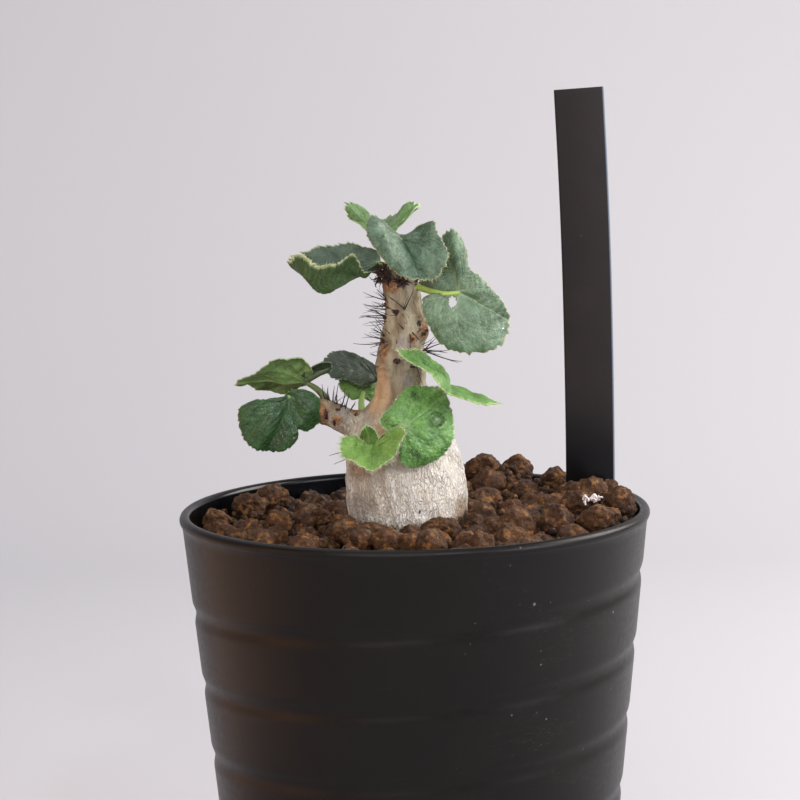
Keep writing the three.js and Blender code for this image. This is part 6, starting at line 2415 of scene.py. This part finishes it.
def point_mesh(name: str, places: Array, vectors: dict[str, Array],
               numbers: dict[str, Array]) -> bpy.types.Mesh:
    """Makes a mesh of bare points with values.

    Args:
        name: its name.
        places: points in millimetres.
        vectors: named vectors, one for each point.
        numbers: named numbers, one for each point.

    Returns:
        The mesh.
    """
    mesh = bpy.data.meshes.new(name + "_places")
    mesh.from_pydata((places * MM).tolist(), [], [])
    for key, rows in vectors.items():
        layer = mesh.attributes.new(key, "FLOAT_VECTOR", "POINT")
        layer.data.foreach_set("vector", rows.astype(np.float32).reshape(-1))
    for key, column in numbers.items():
        layer = mesh.attributes.new(key, "FLOAT", "POINT")
        layer.data.foreach_set("value", column.astype(np.float32))
    return mesh


class Scatter:
    """A Geometry Nodes tree that sets stones on points and roughens each in its own way."""

    def __init__(self) -> None:
        """Builds the tree."""
        sheet, entry, leave = shape_tree("Scatter", {"Stones": SocketKind.COLLECTION, **ROUGH_INPUTS})
        stones = sheet.node("GeometryNodeCollectionInfo", {
            "Collection": entry.outputs["Stones"], "Separate Children": True, "Reset Children": True})
        points = sheet.node("GeometryNodeMeshToPoints", {"Mesh": entry.outputs["Geometry"]})
        radii = sheet.node("GeometryNodeInputNamedAttribute", {"Name": "radii"}, data_type="FLOAT_VECTOR")
        turned = sheet.node("GeometryNodeInputNamedAttribute", {"Name": "turned"}, data_type="FLOAT_VECTOR")
        kind = sheet.node("GeometryNodeInputNamedAttribute", {"Name": "kind"}, data_type="FLOAT")
        turning = sheet.node("FunctionNodeEulerToRotation", {0: turned.outputs[0]})
        placed = sheet.node("GeometryNodeInstanceOnPoints", {
            "Points": points.outputs[0], "Instance": stones.outputs[0], "Pick Instance": True,
            "Instance Index": kind.outputs[0], "Rotation": turning.outputs[0], "Scale": radii.outputs[0]})
        real = sheet.node("GeometryNodeRealizeInstances", {"Geometry": placed.outputs[0]})
        moved = roughened(sheet, real.outputs[0], entry)
        self.tree = dressed_tree(sheet, moved, entry, leave)


class Crumbs:
    """A Geometry Nodes tree that strews small crumbs over the soil's bed."""

    def __init__(self) -> None:
        """Builds the tree."""
        numbers = {name: SocketKind.NUMBER for name in ("Lift", "Lowest", "Density", "Smallest", "Largest")}
        sheet, entry, leave = shape_tree("Crumbs", {**numbers, "Material": SocketKind.MATERIAL})
        place = sheet.node("GeometryNodeInputPosition").outputs[0]
        height = sheet.node("ShaderNodeSeparateXYZ", {0: place}).outputs["Z"]
        above = sheet.math("GREATER_THAN", height, entry.outputs["Lowest"])
        density = sheet.times(above, entry.outputs["Density"])
        strewn = sheet.node("GeometryNodeDistributePointsOnFaces", {
            "Mesh": entry.outputs["Geometry"], "Density": density, "Seed": 7})
        size = random_number(sheet, entry.outputs["Smallest"], entry.outputs["Largest"], 3)
        lift = random_number(sheet, 0.0, entry.outputs["Lift"], 5)
        turn = sheet.node("FunctionNodeRandomValue", {1: (6.28, 6.28, 6.28), "Seed": 9},
                          data_type="FLOAT_VECTOR")
        turning = sheet.node("FunctionNodeEulerToRotation", {0: turn.outputs[0]})
        upward = sheet.node("ShaderNodeCombineXYZ", {"Z": lift})
        raised = sheet.node("GeometryNodeSetPosition", {
            "Geometry": strewn.outputs[0], "Offset": upward.outputs[0]})
        ball = sheet.node("GeometryNodeMeshIcoSphere", {"Radius": 1.0, "Subdivisions": 1})
        toned = sheet.node("GeometryNodeStoreNamedAttribute", {
            "Geometry": raised.outputs[0], "Name": "tone", "Value": random_number(sheet, 0.0, 1.0, 11)},
            data_type="FLOAT", domain="POINT")
        placed = sheet.node("GeometryNodeInstanceOnPoints", {
            "Points": toned.outputs[0], "Instance": ball.outputs[0], "Rotation": turning.outputs[0],
            "Scale": size})
        real = sheet.node("GeometryNodeRealizeInstances", {"Geometry": placed.outputs[0]})
        rough = sheet.math("SUBTRACT", sheet.noise(millimetres(sheet), 1.1, 2.0), 0.5)
        moved = pushed_out(sheet, real.outputs[0], sheet.times(rough, 1.3 * MM))
        self.tree = dressed_tree(sheet, moved, entry, leave)


def random_number(sheet: Sheet, low: object, high: object, seed: int) -> bpy.types.NodeSocket:
    """Draws a number between two for each point and returns it."""
    made = sheet.node("FunctionNodeRandomValue", {2: low, 3: high, "Seed": seed}, data_type="FLOAT")
    return made.outputs[1]


def soil_finish(effects: Effects) -> bpy.types.Material:
    """Crumbly brown clay: each granule has its own tone, with ochre patches, painted shade in the low pits
    and a fine grit; the darkest tone stands for a painted shadow.

    Args:
        effects: shared groups.

    Returns:
        The material.
    """
    material, sheet = new_material("clay_granule")
    place = sheet.place()
    tone = sheet.group(effects.mottle, {"Vector": place, "Broad": 0.35, "Fine": 1.7, "Balance": 0.5})
    base = sheet.mix(tone.outputs["Tone"], linear("3a2211"), linear("6b4524"))
    # each granule's own tone, darkest in the painted shadow at the back left
    own = sheet.mix(sheet.value("tone"), linear("4a403c"), linear("ffffff"))
    colour = sheet.shade(0.85, base, own)
    ochre = sheet.ease(sheet.noise(place, 0.6, 4.0, 0.6), 0.53, 0.68)
    colour = sheet.tint(colour, ochre, 0.55, "b0763a")
    pale = sheet.ease(sheet.noise(place, 0.34, 3.0), 0.57, 0.68)
    colour = sheet.tint(colour, pale, 0.35, "a27c52")
    crumble = sheet.noise(place, 1.15, 5.0, 0.68)
    # painted shade: the clay is darkened where the crumbly relief is low
    pit_shade = sheet.math("SUBTRACT", 1.0, sheet.ease(crumble, 0.36, 0.52))
    colour = sheet.tint(colour, pit_shade, 0.75, "26160d")
    grit = sheet.noise(place, 3.4, 3.0, 0.7)
    relief = sheet.math("ADD", sheet.times(crumble, 1.6), sheet.times(grit, 0.45))
    surface(sheet, Gloss(specular=0.35), colour, sheet.ease(grit, 0.3, 0.7, 0.55, 0.9), relief, 0.5)
    return material


# Label


@dataclass
class PlantLabel:
    """The bare plastic strip beside the plant, pointed where it stands in the soil."""

    width: float = 10.0
    thickness: float = 0.8
    yaw: float = math.radians(15)
    point_height: float = 22.0
    top_slant: float = 0.5
    depth: float = 10.6
    tip_half_width: float = 0.8
    rounding: float = 0.22
    corner_rows: int = 6
    lean_power: int = 8                  # how suddenly the top's slant comes
    top_round: float = 0.12              # how far the last full ring sinks
    cap_rise: float = 0.11
    cap_inset: float = 0.02
    spine: Sequence[tuple[float, float]] = (
        (34.6, 58), (34.7, 80), (34.75, 94), (34.7, 112), (34.4, 135), (33.9, 152), (33.2, 169),
    )
    steps: int = 120

    def section(self, half_width: float, half_thickness: float, rounding: float) -> Array:
        """Gives a flat section with round corners.

        Args:
            half_width: half its width.
            half_thickness: half its thickness.
            rounding: radius of its corners.

        Returns:
            Rows of across and out.
        """
        corners = ((1, -1, -90), (1, 1, 0), (-1, 1, 90), (-1, -1, 180))
        rows = []
        for across, out, start in corners:
            for turn in np.radians(np.linspace(start, start + 90, self.corner_rows)):
                rows.append((across * (half_width - rounding) + rounding * math.cos(turn),
                             out * (half_thickness - rounding) + rounding * math.sin(turn)))
        return np.array(rows)

    def build(self, material: bpy.types.Material) -> None:
        """Makes the label's piece.

        Args:
            material: its finish.
        """
        line = np.array([(x, self.depth, z) for x, z in self.spine], dtype=float)
        centres = open_curve(line, np.linspace(0, 1, self.steps + 1))
        across = np.array([math.cos(self.yaw), math.sin(self.yaw), 0.0])
        out = np.array([-math.sin(self.yaw), math.cos(self.yaw), 0.0])
        rings = []
        for i, centre in enumerate(centres):
            share = min(1.0, (centre[2] - self.spine[0][1]) / self.point_height)
            half = max(self.tip_half_width, self.width / 2 * math.sqrt(share))
            rows = self.section(half, self.thickness / 2, self.rounding)
            ring = centre + rows[:, :1] * across + rows[:, 1:] * out
            lean = self.top_slant / 2 * (i / self.steps) ** self.lean_power
            ring[:, 2] += rows[:, 0] / (self.width / 2) * lean
            rings.append(ring)
        rings[-1][:, 2] -= self.top_round
        inner = rings[-1] + (centres[-1] - rings[-1]) * self.cap_inset
        inner[:, 2] = rings[-1][:, 2] + self.cap_rise
        rings.append(inner)
        skin = Skin()
        sideways = np.array(rings) - np.array(rings).mean(axis=1, keepdims=True)
        add_tube(skin, np.array(rings), across=(sideways @ across).reshape(-1))
        finished("label_strip", skin.mesh("label_strip"), ["plant_label"], material)


def label_finish(effects: Effects) -> bpy.types.Material:
    """Dark satin plastic, duller above and smoother near the soil, with painted reflections: greyer above
    than near the soil, and a pale painted highlight along its right edge.

    Args:
        effects: shared groups.

    Returns:
        The material.
    """
    material, sheet = new_material("label_satin")
    place = sheet.place()
    tone = sheet.group(effects.mottle, {"Vector": place, "Broad": 0.12, "Fine": 1.6, "Balance": 0.35})
    height = sheet.node("ShaderNodeSeparateXYZ", {0: place}).outputs["Z"]
    # painted reflection: the upper part is greyer, the part near the soil near-black
    above = sheet.ease(height, 96.0, 112.0)
    low = sheet.mix(tone.outputs["Tone"], linear("050405"), linear("080708"))
    high = sheet.mix(tone.outputs["Tone"], linear("1c1716"), linear("231d1b"))
    colour = sheet.mix(above, low, high)
    lint = sheet.group(effects.specks, {"Vector": place, "Scale": 0.9, "Share": 0.05, "Size": 0.14})
    colour = sheet.tint(colour, lint.outputs["Mask"], 0.4, "8d8783")
    # painted highlight: a pale blue-grey line along the right edge
    edge = sheet.ease(sheet.value("across"), 4.5, 4.8)
    colour = sheet.tint(colour, edge, 0.8, "7c8796")
    rough = sheet.ease(above, 0.0, 1.0, 0.3, 0.5)
    surface(sheet, Gloss(specular=0.17), colour, rough, tone.outputs["Fine"], 0.01)
    return material


# Camera, floor and light


@dataclass
class Studio:
    """The photograph's camera over a plain pale floor that sweeps up behind, in soft light."""

    eye: Point = (-2.35, -450.0, 169.0)
    pitch: float = math.radians(7.39)
    roll: float = math.radians(1.15)
    focal: float = 2376.5                # pixels, in a picture 800 pixels wide
    picture: float = 800.0
    sensor: float = 36.0
    clip: tuple[float, float] = (0.01, 20.0)     # metres
    sweep_width: float = 2400.0
    sweep_front: float = -1400.0
    sweep_back: float = 700.0
    sweep_radius: float = 300.0
    sweep_height: float = 1600.0

    def camera(self) -> None:
        """Makes the camera."""
        data = bpy.data.cameras.new("camera")
        data.sensor_width = self.sensor
        data.lens = self.focal / self.picture * self.sensor
        data.clip_start, data.clip_end = self.clip
        right = Vector((1, 0, 0))
        up = Vector((0, math.sin(self.pitch), math.cos(self.pitch)))
        back = -Vector((0, math.cos(self.pitch), -math.sin(self.pitch)))
        local_x = right * math.cos(self.roll) - up * math.sin(self.roll)
        local_y = right * math.sin(self.roll) + up * math.cos(self.roll)
        turn = Matrix((local_x, local_y, back)).transposed().to_4x4()
        camera = bpy.data.objects.new("camera", data)
        bpy.context.scene.collection.objects.link(camera)
        camera.matrix_world = Matrix.Translation(Vector(self.eye) * MM) @ turn
        bpy.context.scene.camera = camera

    def floor(self) -> None:
        """Makes the floor and the backdrop as one sheet."""
        profile = [(self.sweep_front, 0.0), (self.sweep_back - self.sweep_radius, 0.0)]
        for turn in np.linspace(0, math.pi / 2, 24):
            profile.append((self.sweep_back - self.sweep_radius + self.sweep_radius * math.sin(turn),
                            self.sweep_radius * (1 - math.cos(turn))))
        profile.append((self.sweep_back, self.sweep_height))
        half = self.sweep_width / 2
        points = [(side * half, y, z) for y, z in profile for side in (-1, 1)]
        faces = [(2 * i, 2 * i + 1, 2 * i + 3, 2 * i + 2) for i in range(len(profile) - 1)]
        skin = Skin()
        skin.add(np.array(points), faces)
        material, sheet = new_material("floor_pale")
        soft = sheet.noise(sheet.place(), 0.002, 2.0)
        colour = sheet.mix(soft, linear("bebec3"), linear("c3c3c6"))
        surface(sheet, Gloss(specular=0.2), colour, 0.9)
        mesh = skin.mesh("floor")
        mesh.materials.append(material)
        mesh.shade_smooth()
        floor = bpy.data.objects.new("floor", mesh)
        bpy.context.scene.collection.objects.link(floor)

    @staticmethod
    def lamp(name: str, place: Point, aim: Point, size: tuple[float, float], power: float,
             colour: str) -> None:
        """Makes a soft rectangular light.

        Args:
            name: its name.
            place: where it stands, in millimetres.
            aim: the point that it faces.
            size: its width and height.
            power: watts.
            colour: its screen colour.
        """
        data = bpy.data.lights.new(name, "AREA")
        data.shape = "RECTANGLE"
        data.size, data.size_y = (s * MM for s in size)
        data.energy = power
        data.color = linear(colour)[:3]
        light = bpy.data.objects.new(name, data)
        light.visible_camera = False
        bpy.context.scene.collection.objects.link(light)
        way = (Vector(aim) - Vector(place)).normalized()
        turn = way.to_track_quat("-Z", "Y").to_matrix().to_4x4()
        light.matrix_world = Matrix.Translation(Vector(place) * MM) @ turn

    def lights(self) -> None:
        """Makes the lights and the surroundings."""
        aim = (0.0, 0.0, 105.0)
        self.lamp("window", (600.0, 180.0, 460.0), aim, (420.0, 420.0), 6.2, "fff8f0")
        self.lamp("front_fill", (-260.0, -900.0, 520.0), aim, (700.0, 700.0), 4.2, "fffaf4")
        self.lamp("window_low", (500.0, -300.0, 280.0), aim, (300.0, 300.0), 2.0, "f6f4ff")
        self.lamp("left_glow", (-150.0, 0.0, 48.0), (0.0, 0.0, 48.0), (160.0, 90.0), 0.028, "ffa755")
        self.lamp("left_warmth", (-560.0, -260.0, 160.0), aim, (300.0, 300.0), 0.5, "ffb878")
        self.lamp("ceiling", (-60.0, -420.0, 860.0), aim, (800.0, 500.0), 1.3, "f2f3ff")
        self.lamp("backdrop", (-420.0, 420.0, 1150.0), (-300.0, 640.0, 200.0), (1200.0, 400.0), 2.8, "fbfaff")
        self.lamp("glint", (200.0, -640.0, 560.0), aim, (60.0, 60.0), 1.1, "ffffff")
        world = bpy.data.worlds.new("surroundings")
        bpy.context.scene.world = world
        world.use_nodes = True
        sheet = Sheet(world.node_tree)
        world.node_tree.nodes.clear()
        light = sheet.node("ShaderNodeBackground", {"Color": linear("e6e4e9"), "Strength": 0.36})
        sheet.node("ShaderNodeOutputWorld", {"Surface": light.outputs[0]})
        view = bpy.context.scene.view_settings
        view.view_transform = "Standard"
        view.look = "None"

    def build(self) -> None:
        """Makes the camera, the floor and the lights."""
        self.camera()
        self.floor()
        self.lights()


def write_sizes() -> None:
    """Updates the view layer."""
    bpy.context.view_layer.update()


def main() -> None:
    """Builds the studio and every piece."""
    logging.basicConfig(level=logging.INFO, format="%(message)s")
    Studio().build()
    effects = Effects()
    relief, scatter, crumbs, strands = Relief(), Scatter(), Crumbs(), Strands()
    pot = Pot()
    pot.build(pot_finish(effects))
    PlantLabel().build(label_finish(effects))
    Wood().build(bark_finish(effects), relief)
    bristle = plain_finish("bristle_dark", "120c0b", "2c1c18", 0.45, effects, 0.8)
    scale = plain_finish("tip_scale_dark", "180e0c", "4a2a1c", 0.6, effects, 0.9)
    Bristles().build(strands, bristle, scale)
    build_leaves(effects, strands)
    crystal = plain_finish("crystal_pale", "d9c8c4", "f4ecea", 0.4, effects, 1.0)
    Soil(pot).build(soil_finish(effects), crystal, scatter, crumbs, relief, strands)
    write_sizes()


if __name__ == "__main__":
    main()
